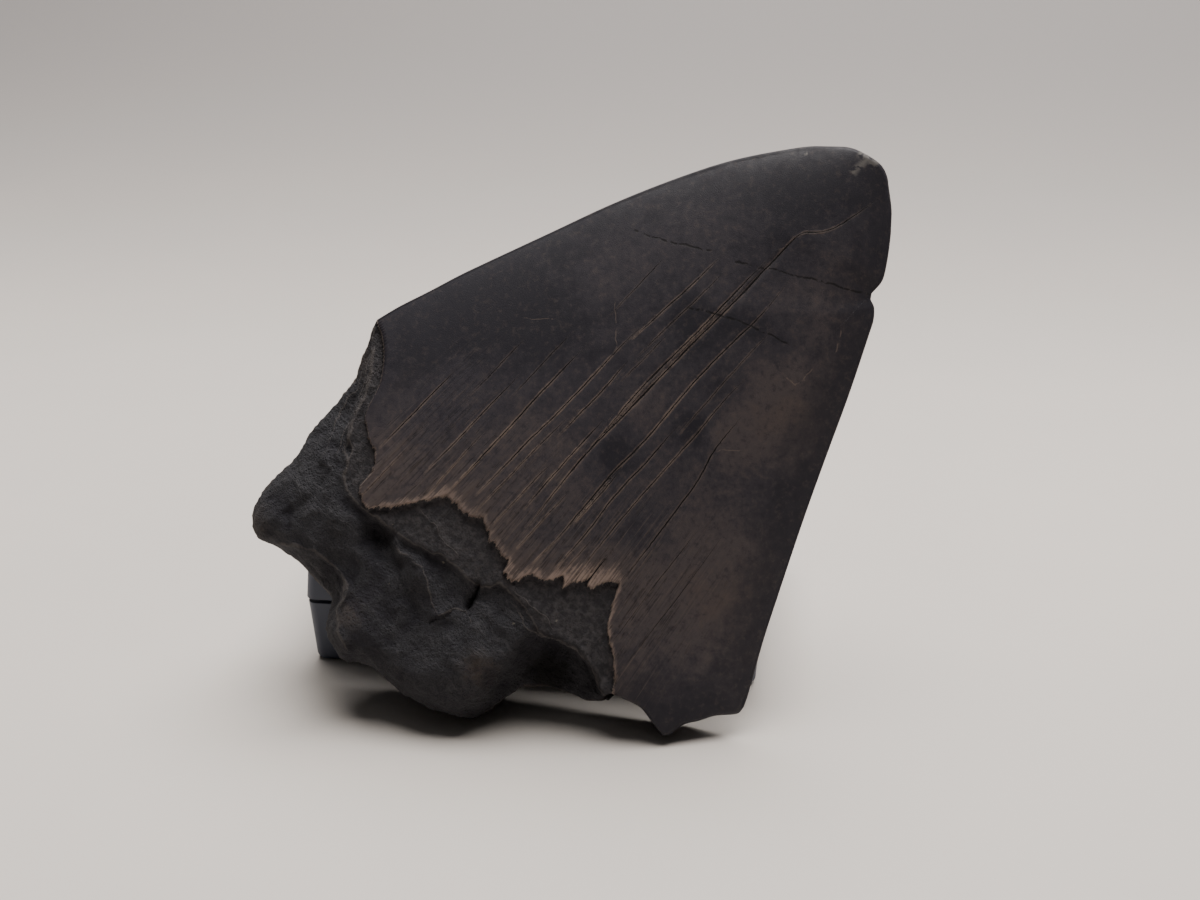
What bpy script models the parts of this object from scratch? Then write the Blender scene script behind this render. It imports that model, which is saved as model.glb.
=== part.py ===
"""A large fossil shark tooth leaning back on its stand, a small two-part plastic case.

The tooth is one solid: crown, broken root and all. It is modelled flat in its own axes, in
millimetres: t across the blade, s along the blade towards the tip, n out of the front face. Then it
is leaned back and turned until it stands on its root with the tip up and to the right.
The case lies behind it, and the tooth's back rests on the case's upper front edge.
"""

import math

import bmesh
import bpy
import numpy as np
from mathutils import Vector

MM = 0.001
GAP = 0.3  # left between two pieces that touch

# Tooth, as it stands
LEAN = math.radians(20.0)  # the blade leans back from upright by this
TURN = math.radians(40.0)  # the blade's length is turned to the right of upright by this

# Tooth, its outline in (t, s): four runs of points that share their end points
CUTTING_EDGES = [
    (-57.2, 4.1), (-55.4, 9.7), (-52.7, 16.5), (-50.1, 23.4), (-47.3, 30.0), (-41.6, 43.1),
    (-36.0, 56.0), (-29.9, 68.2), (-23.2, 79.7), (-15.5, 89.8), (-11.2, 94.4), (-6.7, 98.0),
    (-3.1, 99.3), (0.6, 99.8), (5.0, 97.8), (9.6, 93.6), (13.5, 88.7), (16.9, 83.3),
    (17.7, 79.9), (18.4, 77.7), (20.1, 77.0), (23.0, 72.1), (28.4, 60.1), (33.5, 47.8),
    (38.7, 35.5), (44.1, 23.4), (49.6, 11.3), (55.5, -0.4), (56.6, -2.9),
]
ROOT_LEFT = [
    (-49.0, -45.8), (-50.1, -42.9), (-50.6, -34.0), (-51.3, -25.7), (-51.7, -17.3),
    (-52.0, -8.7), (-54.7, -2.5), (-57.2, 4.1),
]
ROOT_BOTTOM = [
    (-49.0, -45.8), (-46.9, -47.7), (-43.6, -48.6), (-40.8, -47.4), (-32.9, -46.0),
    (-25.9, -46.0), (-23.4, -46.4), (-20.9, -50.8), (-16.2, -53.9), (-11.6, -54.3),
    (-5.9, -51.0), (2.5, -50.5), (12.9, -47.0), (16.6, -44.2), (18.8, -35.4), (22.4, -29.4),
    (28.3, -26.3), (33.9, -22.5), (34.4, -19.5), (40.5, -17.4), (45.9, -18.4), (48.3, -18.7),
]
BASE_BREAK = [(48.3, -18.7), (49.4, -15.7), (51.9, -11.1), (56.5, -5.0), (56.6, -2.9)]

# Tooth, lines across its faces from left to right: where the enamel ends on the front, where the
# broken ledge under it drops to the root, and where the enamel ends on the back
ENAMEL_MARGIN = [
    (-62.0, 8.0), (-53.8, 2.6), (-48.6, -1.6), (-45.6, -6.4), (-43.6, -11.9), (-36.7, -15.3),
    (-33.9, -20.1), (-33.1, -24.1), (-29.7, -24.5), (-24.7, -19.8), (-18.7, -11.7),
    (-12.3, -11.6), (-6.9, -10.9), (-4.3, -11.9), (0.9, -15.0), (5.5, -11.5), (10.3, -8.1),
    (14.4, -4.8), (19.9, -0.8), (22.2, -5.3), (25.7, -10.3), (32.1, -15.6), (37.6, -18.5),
    (48.0, -21.0), (62.0, -26.0),
]
BREAK_LEDGE = [
    (-64.0, 8.0), (-55.5, 0.5), (-51.6, -3.0), (-48.7, -7.9), (-45.3, -13.9), (-43.1, -17.1),
    (-39.1, -22.5), (-34.0, -25.6), (-28.8, -26.0), (-19.2, -24.5), (-10.4, -21.4),
    (-2.0, -20.8), (2.9, -17.4), (10.4, -17.9), (19.0, -17.8), (23.8, -17.0), (29.4, -18.4),
    (37.6, -19.5), (48.0, -22.0), (62.0, -28.0),
]
BACK_MARGIN = [
    (-62.0, 0.0), (-45.0, -4.0), (-30.0, 3.0), (-12.0, 13.0), (0.0, 17.0), (12.0, 13.0),
    (30.0, 1.0), (42.0, -8.0), (62.0, -22.0),
]

# Tooth, its swell: the half thickness is a share of the blade's half width, and falls to the edges
EDGE_HALF = 1.0
FRONT_SWELL = 0.19
BACK_SWELL = 0.15
SWELL_POWER = 0.8
EDGE_REACH = 60.0  # the cutting edges are carried on past both ends by this, to measure the width
TIP_SPAN = (-10.0, 9.0)  # across, the part of the cutting edges that is the tip
ENAMEL_STEP = 1.1
ROOT_STEP = 2.0  # below the break ledge, at the left
RECESS_STEP = 7.5  # below the break ledge, where the right root lobe is missing
RECESS_START = (12.0, 20.0)  # across, from where to where the step deepens
BACK_STEP = 0.7
STEP_WIDTH = 1.6
CROWN_ROUND = 2.5  # how far in from the outline the rim is rounded
ROOT_ROUND = 8.0
THINNEST = 1.2  # the least half thickness inside the rim

# Tooth, swellings and hollows: centre t and s, reach, height
FRONT_FORMS = [
    (9.0, -34.0, 10.0, 2.6),
    (-39.0, -34.0, 12.0, 1.6),
    (-13.0, -46.0, 8.0, 1.2),
    (-21.6, -29.0, 3.6, -2.6),
    (-26.0, -41.0, 6.0, -2.4),
    (0.0, -24.5, 2.6, -2.6),
    (-12.0, -27.5, 3.5, 1.4),
    (-49.0, -14.0, 4.5, -1.8),
]
BACK_FORMS = [
    (0.0, -22.0, 20.0, 2.0),
    (-36.0, -32.0, 12.0, 1.5),
]

# Tooth, its mesh
COLUMNS = 50
ROOT_ROWS = 16
CROWN_ROWS = 26
SIDE_SPLITS = (0.72, 0.45)  # how far up the left and right sides the row along the margin ends
MARGIN_SPAN = (-46.0, 34.0)  # across, where that row follows the margin
CROWDING = 0.72  # how much the rows and columns crowd to the rims and the margin

# Case, a base and a lid that meet at a seam
CASE_WIDTH = 101.0  # at the foot
CASE_DEPTH = 68.0  # at the foot
CASE_HEIGHT = 31.0
SEAM_HEIGHT = 15.2
DRAFT = math.tan(math.radians(4.0))  # the walls lean in from the seam, up and down
LID_OVERHANG = 0.25
WALL = 2.0
CORNER_ROUND = 2.4
EDGE_ROUND = 1.6
ROUND_SEGMENTS = 4
CASE_LEFT = -57.9  # the case's left foot edge, sideways from the middle of the tooth

ENAMEL_GREY = (0.036, 0.031, 0.031, 1.0)
CASE_SLATE = (0.040, 0.041, 0.049, 1.0)


def clear_scene():
    """Remove every object that the scene holds."""
    for obj in list(bpy.data.objects):
        bpy.data.objects.remove(obj, do_unlink=True)


def make_collection(name, in_render=True):
    """A collection under the scene's own."""
    collection = bpy.data.collections.new(name)
    collection.hide_render = not in_render
    bpy.context.scene.collection.children.link(collection)
    return collection


def make_material(name, color, roughness, metallic=0.0):
    """A plain Principled material."""
    material = bpy.data.materials.new(name)
    material.use_nodes = True
    shader = material.node_tree.nodes["Principled BSDF"]
    shader.inputs["Base Color"].default_value = color
    shader.inputs["Roughness"].default_value = roughness
    shader.inputs["Metallic"].default_value = metallic
    return material


def object_from(bm, name, collection, material=None):
    """An object that holds this mesh."""
    mesh = bpy.data.meshes.new(name)
    bm.to_mesh(mesh)
    bm.free()
    if material:
        mesh.materials.append(material)
    obj = bpy.data.objects.new(name, mesh)
    collection.objects.link(obj)
    return obj


def crowded(count):
    """Shares from 0 to 1 that lie closer together towards both ends."""
    share = np.linspace(0.0, 1.0, count + 1)
    return share - CROWDING * np.sin(2.0 * np.pi * share) / (2.0 * np.pi)


def along(run, share, across_weight):
    """Points at these shares of the way along a run, the way counted partly by t alone."""
    run = np.array(run)
    step = np.diff(run, axis=0)
    length = np.hypot(step[:, 0], step[:, 1])
    weight = across_weight * np.abs(step[:, 0]) + (1.0 - across_weight) * length
    way = np.concatenate([[0.0], np.cumsum(weight)]) / weight.sum()
    return np.stack([np.interp(share, way, run[:, axis]) for axis in (0, 1)], axis=-1)


def patch(low, high, left, right, across, up):
    """Fill a four-sided patch: low and high run across it, left and right run up it."""
    column = across[:, None, None]
    row = up[None, :, None]
    ruled = (1.0 - row) * low[:, None] + row * high[:, None]
    sided = (1.0 - column) * left[None] + column * right[None]
    foot = (1.0 - column) * low[0] + column * low[-1]
    head = (1.0 - column) * high[0] + column * high[-1]
    return ruled + sided - (1.0 - row) * foot - row * head


def blade_points(margin):
    """The (t, s) of every row and column of one face, with a row along the enamel's margin."""
    across = crowded(COLUMNS)
    root_up = crowded(ROOT_ROWS)
    crown_up = crowded(CROWN_ROWS)
    lower_sides = []
    upper_sides = []
    for side, split in zip((ROOT_LEFT, BASE_BREAK), SIDE_SPLITS):
        lower_sides.append(along(side, split * root_up, 0.0))
        upper_sides.append(along(side, split + (1.0 - split) * crown_up, 0.0))
    ends = [tuple(side[0]) for side in upper_sides]
    inner = [point for point in margin if MARGIN_SPAN[0] < point[0] < MARGIN_SPAN[1]]
    middle = along([ends[0]] + inner + [ends[1]], across, 0.8)
    bottom = along(ROOT_BOTTOM, across, 0.7)
    top = along(CUTTING_EDGES, across, 0.7)
    root = patch(bottom, middle, *lower_sides, across, root_up)
    crown = patch(middle, top, *upper_sides, across, crown_up)
    return np.concatenate([root, crown[:, 1:]], axis=1)


def distance_to(points, run):
    """The distance from each point to the nearest place on a run."""
    nearest = np.full(points.shape[:-1], np.inf)
    run = np.array(run)
    for start, end in zip(run[:-1], run[1:]):
        way = end - start
        share = np.clip((points - start) @ way / (way @ way), 0.0, 1.0)
        offset = points - start - share[..., None] * way
        nearest = np.minimum(nearest, np.hypot(offset[..., 0], offset[..., 1]))
    return nearest


def height_above(points, line):
    """The distance to a line across the blade, positive on the tip's side of it."""
    crossings = np.zeros(points.shape[:-1], dtype=int)
    for (t0, s0), (t1, s1) in zip(line[:-1], line[1:]):
        if t0 == t1:
            continue
        beside = (points[..., 0] < t0) != (points[..., 0] < t1)
        s_there = s0 + (points[..., 0] - t0) * (s1 - s0) / (t1 - t0)
        crossings += beside & (s_there > points[..., 1])
    return np.where(crossings % 2 == 0, 1.0, -1.0) * distance_to(points, line)


def smooth(value, start, end):
    """0 up to start, 1 from end on, and an S curve between."""
    share = np.clip((value - start) / (end - start), 0.0, 1.0)
    return share * share * (3.0 - 2.0 * share)


def rim(distance, reach):
    """A quarter circle's rise from 0 at the rim to 1 at the reach."""
    return np.sqrt(1.0 - (1.0 - np.clip(distance / reach, 0.0, 1.0)) ** 2)


def carried_on(run):
    """A run with a straight stretch added at both ends."""
    run = np.array(run)
    before = run[0] - run[1]
    after = run[-1] - run[-2]
    first = run[0] + before / np.hypot(*before) * EDGE_REACH
    last = run[-1] + after / np.hypot(*after) * EDGE_REACH
    return np.vstack([first, run, last])


def swell(points, share_of_width):
    """A lens across the blade, thick in proportion to the blade's width there."""
    left = distance_to(points, carried_on([p for p in CUTTING_EDGES if p[0] < TIP_SPAN[0]]))
    right = distance_to(points, carried_on([p for p in CUTTING_EDGES if p[0] > TIP_SPAN[1]]))
    half_width = (left + right) / 2.0
    lens = np.clip(left * right / half_width**2, 0.0, 1.0)
    return (EDGE_HALF + share_of_width * half_width) * lens**SWELL_POWER


def bumps(points, forms):
    """Round swellings and hollows added up."""
    total = np.zeros(points.shape[:-1])
    for t, s, reach, height in forms:
        squared = (points[..., 0] - t) ** 2 + (points[..., 1] - s) ** 2
        total += height * np.exp(-squared / reach**2)
    return total


def rounded(points, half, on_crown):
    """The half thickness with its rim rounded, widely on the root and narrowly on the crown."""
    outline = ROOT_LEFT[:-1] + CUTTING_EDGES + BASE_BREAK[-2::-1] + ROOT_BOTTOM[-2::-1]
    inside = distance_to(points, outline)
    reach = ROOT_ROUND + (CROWN_ROUND - ROOT_ROUND) * on_crown
    least = THINNEST * rim(inside, CROWN_ROUND)
    return np.maximum(half * rim(inside, reach), least)


def front_half(points):
    """How far the front face stands out from the blade's middle plane."""
    on_crown = smooth(height_above(points, ENAMEL_MARGIN), -STEP_WIDTH / 2, STEP_WIDTH / 2)
    on_ledge = smooth(height_above(points, BREAK_LEDGE), -STEP_WIDTH, STEP_WIDTH / 2)
    missing = smooth(points[..., 0], *RECESS_START)
    root_step = ROOT_STEP + (RECESS_STEP - ROOT_STEP) * missing
    half = swell(points, FRONT_SWELL)
    half = half - ENAMEL_STEP * (1.0 - on_crown) - root_step * (1.0 - on_ledge)
    half = half + bumps(points, FRONT_FORMS) * (1.0 - on_crown)
    return rounded(points, half, on_crown)


def back_half(points):
    """How far the back face stands out from the blade's middle plane."""
    on_crown = smooth(height_above(points, BACK_MARGIN), -STEP_WIDTH, STEP_WIDTH)
    half = swell(points, BACK_SWELL) - BACK_STEP * (1.0 - on_crown)
    half = half + bumps(points, BACK_FORMS)
    return rounded(points, half, on_crown)


def add_face(bm, points, height, faces_front):
    """A grid bent to one face of the tooth: its squares' corners move to the rows and columns."""
    columns = points.shape[0] - 1
    rows = points.shape[1] - 1
    made = bmesh.ops.create_grid(bm, x_segments=columns, y_segments=rows, size=1.0)
    for vert in made["verts"]:
        column = round((vert.co.x + 1.0) / 2.0 * columns)
        row = round((vert.co.y + 1.0) / 2.0 * rows)
        t, s = points[column, row]
        vert.co = Vector((t, s, height[column, row])) * MM
    if not faces_front:
        faces = {face for vert in made["verts"] for face in vert.link_faces}
        bmesh.ops.reverse_faces(bm, faces=list(faces))


def close_rim(height):
    """The heights with every point of the rim on the middle plane."""
    height[[0, -1], :] = 0.0
    height[:, [0, -1]] = 0.0
    return height


def make_tooth(collection, material):
    """The whole tooth: a front and a back face joined along the rim, then stood up."""
    bm = bmesh.new()
    front = blade_points(ENAMEL_MARGIN)
    back = blade_points(BACK_MARGIN)
    add_face(bm, front, close_rim(front_half(front)), True)
    add_face(bm, back, close_rim(-back_half(back)), False)
    bmesh.ops.remove_doubles(bm, verts=bm.verts, dist=0.01 * MM)
    tooth = object_from(bm, "tooth", collection, material)
    tooth.data.shade_smooth()
    tooth.data.set_sharp_from_angle(angle=math.radians(40.0))
    tooth.rotation_mode = "ZYX"
    tooth.rotation_euler = (math.pi / 2.0 - LEAN, 0.0, -TURN)
    bpy.context.view_layer.update()
    tooth.location.z = -min(point.z for point in world_points(tooth))
    return tooth


def world_points(obj):
    """The object's own mesh points where they stand in the world."""
    bpy.context.view_layer.update()
    return [obj.matrix_world @ vert.co for vert in obj.data.vertices]


def case_half_size(z, foot):
    """Half the case's width or depth at a height: widest at the seam."""
    return foot / 2.0 + (SEAM_HEIGHT - abs(z - SEAM_HEIGHT)) * DRAFT


def case_block(low, high, inset, outer_z, corner_round, edge_round):
    """A tapered block with rounded corners, in metres, and one rounded end face at outer_z."""
    bm = bmesh.new()
    bmesh.ops.create_cube(bm, size=2.0)
    for vert in bm.verts:
        z = high if vert.co.z > 0.0 else low
        x = vert.co.x * (case_half_size(z, CASE_WIDTH) - inset)
        y = vert.co.y * (case_half_size(z, CASE_DEPTH) - inset)
        vert.co = Vector((x, y, z)) * MM
    upright = [edge for edge in bm.edges if edge.verts[0].co.z != edge.verts[1].co.z]
    bmesh.ops.bevel(
        bm, geom=upright, offset=corner_round * MM, segments=ROUND_SEGMENTS, profile=0.5, affect="EDGES"
    )
    end = [edge for edge in bm.edges if all(abs(v.co.z / MM - outer_z) < 0.001 for v in edge.verts)]
    bmesh.ops.bevel(
        bm, geom=end, offset=edge_round * MM, segments=ROUND_SEGMENTS, profile=0.5, affect="EDGES"
    )
    return bm


def make_case_part(name, low, high, outer_z, overhang, collection, cutters, material):
    """One half of the case: a tapered block hollowed from the seam by a smaller one."""
    body = object_from(
        case_block(low, high, -overhang, outer_z, CORNER_ROUND, EDGE_ROUND), name, collection, material
    )
    past_seam = 1.0
    hollow_low = low + WALL if outer_z == low else low - past_seam
    hollow_high = high - WALL if outer_z == high else high + past_seam
    hollow_outer = hollow_low if outer_z == low else hollow_high
    hollow = object_from(
        case_block(hollow_low, hollow_high, WALL, hollow_outer, CORNER_ROUND - WALL / 2, EDGE_ROUND / 2),
        name + "_hollow",
        cutters,
    )
    hollow.hide_render = True
    hollow.display_type = "WIRE"
    hollow.parent = body
    cut = body.modifiers.new("hollow", "BOOLEAN")
    cut.operation = "DIFFERENCE"
    cut.object = hollow
    body.data.shade_smooth()
    body.data.set_sharp_from_angle(angle=math.radians(40.0))
    return body


def reach_behind(tooth):
    """How far back the case's middle must be for its front to clear the tooth's back."""
    front_at = [
        point.y / MM + case_half_size(point.z / MM, CASE_DEPTH)
        for point in world_points(tooth)
        if point.z / MM < CASE_HEIGHT
    ]
    return max(front_at) + LID_OVERHANG + GAP


def centre_on_floor(pieces):
    """Move everything so that the middle of its footprint box is at the origin."""
    points = [point for piece in pieces for point in world_points(piece)]
    shift = Vector((0.0, 0.0, 0.0))
    for axis in (0, 1):
        shift[axis] = -(min(p[axis] for p in points) + max(p[axis] for p in points)) / 2.0
    for piece in pieces:
        piece.location += shift


def main():
    """Build the tooth, then the case behind it."""
    clear_scene()
    parts = make_collection("megalodon_tooth_on_stand")
    cutters = make_collection("cutters", in_render=False)
    enamel = make_material("fossil_tooth", ENAMEL_GREY, 0.42)
    slate = make_material("slate_plastic", CASE_SLATE, 0.45)
    tooth = make_tooth(parts, enamel)
    half_gap = GAP / 2.0
    base = make_case_part(
        "case_base", 0.0, SEAM_HEIGHT - half_gap, 0.0, 0.0, parts, cutters, slate
    )
    lid = make_case_part(
        "case_lid", SEAM_HEIGHT + half_gap, CASE_HEIGHT, CASE_HEIGHT, LID_OVERHANG, parts, cutters, slate
    )
    for half in (base, lid):
        half.location.x = (CASE_LEFT + CASE_WIDTH / 2.0) * MM
        half.location.y = reach_behind(tooth) * MM
    centre_on_floor([tooth, base, lid])


main()
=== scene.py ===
"""Looks of a large fossil shark tooth that leans back on its stand, a small two-part plastic case.

The tooth is one closed surface. It is worked out flat, in millimetres, in the tooth's own axes: t across
the blade, s along it towards the tip, n out of the front face. A grid of rows and columns is fitted to
the outline on each face, each point is raised to the height of the face there, and the whole is leaned
back and turned to where the frame's tooth stands. Each half of the case is a profile carried round a
rounded rectangle. Materials mix colours by masks that the shapes leave on their points.
"""

import itertools
import logging
import math
from dataclasses import dataclass, field
from enum import Enum

import bpy
import numpy as np
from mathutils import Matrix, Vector


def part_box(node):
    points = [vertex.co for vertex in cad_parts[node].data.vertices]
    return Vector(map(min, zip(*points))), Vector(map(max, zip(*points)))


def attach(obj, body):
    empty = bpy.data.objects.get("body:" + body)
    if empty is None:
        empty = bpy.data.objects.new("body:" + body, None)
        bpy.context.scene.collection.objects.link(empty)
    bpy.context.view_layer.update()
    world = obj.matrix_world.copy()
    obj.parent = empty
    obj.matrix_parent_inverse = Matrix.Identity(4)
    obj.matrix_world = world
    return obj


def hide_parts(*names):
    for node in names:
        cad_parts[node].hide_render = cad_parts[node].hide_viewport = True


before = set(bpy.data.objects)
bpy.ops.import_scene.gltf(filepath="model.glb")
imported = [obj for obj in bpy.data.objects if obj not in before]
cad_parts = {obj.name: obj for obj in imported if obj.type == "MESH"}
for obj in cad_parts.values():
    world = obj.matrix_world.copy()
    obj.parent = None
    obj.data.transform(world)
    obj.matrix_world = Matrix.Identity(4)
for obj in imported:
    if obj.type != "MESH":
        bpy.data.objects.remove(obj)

LOG = logging.getLogger("tooth_scene")
MM = 0.001
# Millimetres to one unit of the place on the blade that the finish reads
BLADE_UNIT = 10.0

Array = np.ndarray
Point2 = tuple[float, float]
Point3 = tuple[float, float, float]
Color = tuple[float, float, float, float]
Socket = bpy.types.NodeSocket


class Half(Enum):
    """The two halves of the case, by the frame's node that each stands for."""

    BASE = "case_base"
    LID = "case_lid"


# Numpy tools for shapes


class Noise:
    """Smooth lattice noise from -1 to 1: random corner values joined by quintic curves."""

    CELLS = 256

    def __init__(self, seed: int) -> None:
        """Draw the lattice's values.

        Args:
            seed: Picks the pattern, the same on each run.
        """
        generator = np.random.default_rng(seed)
        self._order = generator.permutation(self.CELLS)
        self._value = generator.uniform(-1.0, 1.0, self.CELLS)

    def at(self, points: Array) -> Array:
        """The noise at points (..., 3), one cell per unit."""
        cell = np.floor(points).astype(int)
        part = points - cell
        blend = part**3 * (part * (part * 6.0 - 15.0) + 10.0)
        total = np.zeros(points.shape[:-1])
        for corner in itertools.product((0, 1), repeat=3):
            where = (cell + np.array(corner)) % self.CELLS
            key = self._order[(self._order[where[..., 0]] + where[..., 1]) % self.CELLS]
            key = self._order[(key + where[..., 2]) % self.CELLS]
            weight = np.prod(np.where(np.array(corner) == 1, blend, 1.0 - blend), axis=-1)
            total += weight * self._value[key]
        return total

    def layered(self, points: Array, octaves: int) -> Array:
        """Noise with finer layers added, each half as large and twice as fine."""
        layers = [self.at(points * 2.0**k + 17.3 * k) * 0.5**k for k in range(octaves)]
        return sum(layers)

    def ridged(self, points: Array, octaves: int) -> Array:
        """Layered noise folded into sharp ridges, from 0 in the hollows to 1 on the ridges."""
        layers = [(1.0 - np.abs(self.at(points * 2.0**k + 9.1 * k))) ** 2 * 0.5**k for k in range(octaves)]
        return sum(layers) / sum(0.5**k for k in range(octaves))


def smooth(value: Array, start: float, end: float) -> Array:
    """0 up to start, 1 from end on, and an S curve between."""
    share = np.clip((value - start) / (end - start), 0.0, 1.0)
    return share * share * (3.0 - 2.0 * share)


def bell(value: Array, reach: float) -> Array:
    """1 at zero, falling to almost nothing at twice the reach."""
    return np.exp(-((value / reach) ** 2))


def rim(distance: Array, reach: Array | float) -> Array:
    """A quarter circle's rise from 0 at the rim to 1 at the reach."""
    return np.sqrt(1.0 - (1.0 - np.clip(distance / reach, 0.0, 1.0)) ** 2)


def graded(count: int, sizes: tuple[Point2, ...]) -> Array:
    """Shares from 0 to 1 whose steps follow relative sizes given at places from 0 to 1."""
    places, weights = zip(*sizes)
    steps = np.interp((np.arange(count) + 0.5) / count, places, weights)
    return np.concatenate([[0.0], np.cumsum(steps)]) / steps.sum()


def rounded_run(run: list[Point2], pieces: int = 6) -> Array:
    """A run of points joined by Catmull-Rom curves: cubic pieces that pass through each point."""
    points = np.array(run)
    padded = np.vstack([2 * points[0] - points[1], points, 2 * points[-1] - points[-2]])
    share = (np.arange(pieces) / pieces)[None, :, None]
    before, start, end, after = (padded[k : len(padded) - 3 + k, None] for k in range(4))
    curve = start + 0.5 * share * (end - before)
    curve = curve + share**2 * (before - 2.5 * start + 2.0 * end - 0.5 * after)
    curve = curve + share**3 * (1.5 * start - 1.5 * end + 0.5 * after - 0.5 * before)
    return np.vstack([curve.reshape(-1, 2), points[-1:]])


def along(run: Array, share: Array, across_weight: float) -> Array:
    """Points at these shares of the way along a run, the way counted partly by t alone."""
    step = np.diff(run, axis=0)
    length = np.hypot(step[:, 0], step[:, 1])
    weight = across_weight * np.abs(step[:, 0]) + (1.0 - across_weight) * length
    way = np.concatenate([[0.0], np.cumsum(weight)]) / weight.sum()
    return np.stack([np.interp(share, way, run[:, axis]) for axis in (0, 1)], axis=-1)


def measured_to(points: Array, run: Array) -> tuple[Array, Array, Array]:
    """How each point lies to a run.

    Args:
        points: The points, (..., 2).
        run: The run's own points, (count, 2).

    Returns:
        The distance to the run, the share of the way along it, and the side: 1 to the run's right.
    """
    nearest = np.full(points.shape[:-1], np.inf)
    place = np.zeros(points.shape[:-1])
    side = np.ones(points.shape[:-1])
    lengths = np.hypot(*np.diff(run, axis=0).T)
    starts = np.concatenate([[0.0], np.cumsum(lengths)])
    for start, end, length, before in zip(run[:-1], run[1:], lengths, starts):
        way = (end - start) / length
        off = points - start
        reach = np.clip(off @ way, 0.0, length)
        gap = off - reach[..., None] * way
        distance = np.hypot(gap[..., 0], gap[..., 1])
        closer = distance < nearest
        nearest = np.where(closer, distance, nearest)
        place = np.where(closer, (before + reach) / starts[-1], place)
        side = np.where(closer, np.sign(off[..., 0] * way[1] - off[..., 1] * way[0]), side)
    return nearest, place, side


def height_above(points: Array, run: Array) -> Array:
    """The distance to a run across the blade, positive on the tip's side of it."""
    crossings = np.zeros(points.shape[:-1], dtype=int)
    for (t0, s0), (t1, s1) in zip(run[:-1], run[1:]):
        if t0 == t1:
            continue
        beside = (points[..., 0] < t0) != (points[..., 0] < t1)
        s_there = s0 + (points[..., 0] - t0) * (s1 - s0) / (t1 - t0)
        crossings += beside & (s_there > points[..., 1])
    return np.where(crossings % 2 == 0, 1.0, -1.0) * measured_to(points, run)[0]


def patch(low: Array, high: Array, left: Array, right: Array, across: Array, up: Array) -> Array:
    """Fill a four-sided patch: its sides blended straight across, less the blend of its corners."""
    column = across[:, None, None]
    row = up[None, :, None]
    ruled = (1.0 - row) * low[:, None] + row * high[:, None]
    sided = (1.0 - column) * left[None] + column * right[None]
    foot = (1.0 - column) * low[0] + column * low[-1]
    head = (1.0 - column) * high[0] + column * high[-1]
    return ruled + sided - (1.0 - row) * foot - row * head


def point_normals(points: Array, triangles: Array) -> Array:
    """Each point's normal: the sum of its triangles' normals, weighted by their area."""
    a, b, c = (points[triangles[:, k]] for k in range(3))
    facing = np.cross(b - a, c - a)
    total = np.zeros_like(points)
    for k in range(3):
        for axis in range(3):
            total[:, axis] += np.bincount(triangles[:, k], facing[:, axis], len(points))
    return total / np.maximum(np.linalg.norm(total, axis=1, keepdims=True), 1e-12)


def make_mesh(name: str, points_mm: Array, faces: list[list[int]]) -> bpy.types.Object:
    """Put a surface into a new object at the origin.

    Args:
        name: The object's name.
        points_mm: Its points in the frame, in millimetres.
        faces: Its faces, by point, running anticlockwise seen from outside.

    Returns:
        The object, smooth shaded and linked to the scene.
    """
    mesh = bpy.data.meshes.new(name)
    mesh.from_pydata((points_mm * MM).tolist(), [], faces)
    mesh.polygons.foreach_set("use_smooth", np.ones(len(mesh.polygons), dtype=bool))
    mesh.update()
    obj = bpy.data.objects.new(name, mesh)
    bpy.context.scene.collection.objects.link(obj)
    return obj


def add_mask(obj: bpy.types.Object, name: str, values: Array) -> None:
    """Keep one number per point on the mesh, for its material to read."""
    layer = obj.data.attributes.new(name, "FLOAT", "POINT")
    layer.data.foreach_set("value", values.astype(np.float32).ravel())


def add_vectors(obj: bpy.types.Object, name: str, values: Array) -> None:
    """Keep three numbers per point on the mesh, for its material to read."""
    layer = obj.data.attributes.new(name, "FLOAT_VECTOR", "POINT")
    layer.data.foreach_set("vector", values.astype(np.float32).ravel())


# The tooth's own lines, in (t, s) millimetres

CUTTING_EDGES = [
    (-57.2, 4.1), (-55.4, 9.7), (-52.7, 16.5), (-50.1, 23.4), (-47.3, 30.0), (-41.6, 43.1),
    (-36.0, 56.0), (-29.9, 68.2), (-23.2, 79.7), (-15.5, 89.8), (-11.2, 94.4), (-6.7, 98.0),
    (-3.1, 99.3), (0.6, 99.8), (3.2, 99.0), (5.4, 97.3), (9.6, 93.6), (13.5, 88.7), (16.7, 83.8),
    (17.6, 81.4), (17.5, 79.2), (18.2, 77.8), (19.9, 77.0), (21.6, 75.0), (23.0, 72.1),
    (28.4, 60.1), (33.5, 47.8), (38.7, 35.5), (44.1, 23.4), (49.6, 11.3), (52.6, 5.3), (55.5, -0.4),
    (56.6, -2.9),
]
ROOT_LEFT = [
    (-49.0, -45.8), (-50.1, -42.9), (-50.6, -39.2), (-50.6, -34.0), (-50.5, -29.5),
    (-51.3, -25.7), (-51.7, -21.6), (-51.6, -12.8), (-52.0, -8.7), (-53.4, -5.6), (-54.7, -2.5),
    (-56.1, 0.7), (-57.2, 4.1),
]
ROOT_BOTTOM = [
    (-49.0, -45.8), (-46.9, -47.7), (-43.6, -48.6), (-40.8, -47.4), (-37.0, -46.5),
    (-32.9, -46.0), (-29.9, -45.9), (-25.9, -46.0), (-23.4, -46.4), (-22.3, -48.3),
    (-20.9, -50.8), (-19.0, -52.6), (-16.2, -53.9), (-13.8, -54.5), (-11.6, -54.3),
    (-9.5, -52.6), (-5.9, -51.0), (-1.6, -50.8), (2.5, -50.5), (6.9, -49.3), (12.9, -47.0),
    (16.6, -44.2), (18.0, -39.4), (18.8, -35.4), (19.4, -32.2), (22.4, -29.4), (28.3, -26.3),
    (31.9, -24.2), (33.9, -22.5), (34.4, -19.5), (37.9, -18.1), (40.5, -17.4), (42.2, -17.6),
    (45.9, -18.4), (48.3, -18.7),
]
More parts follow.
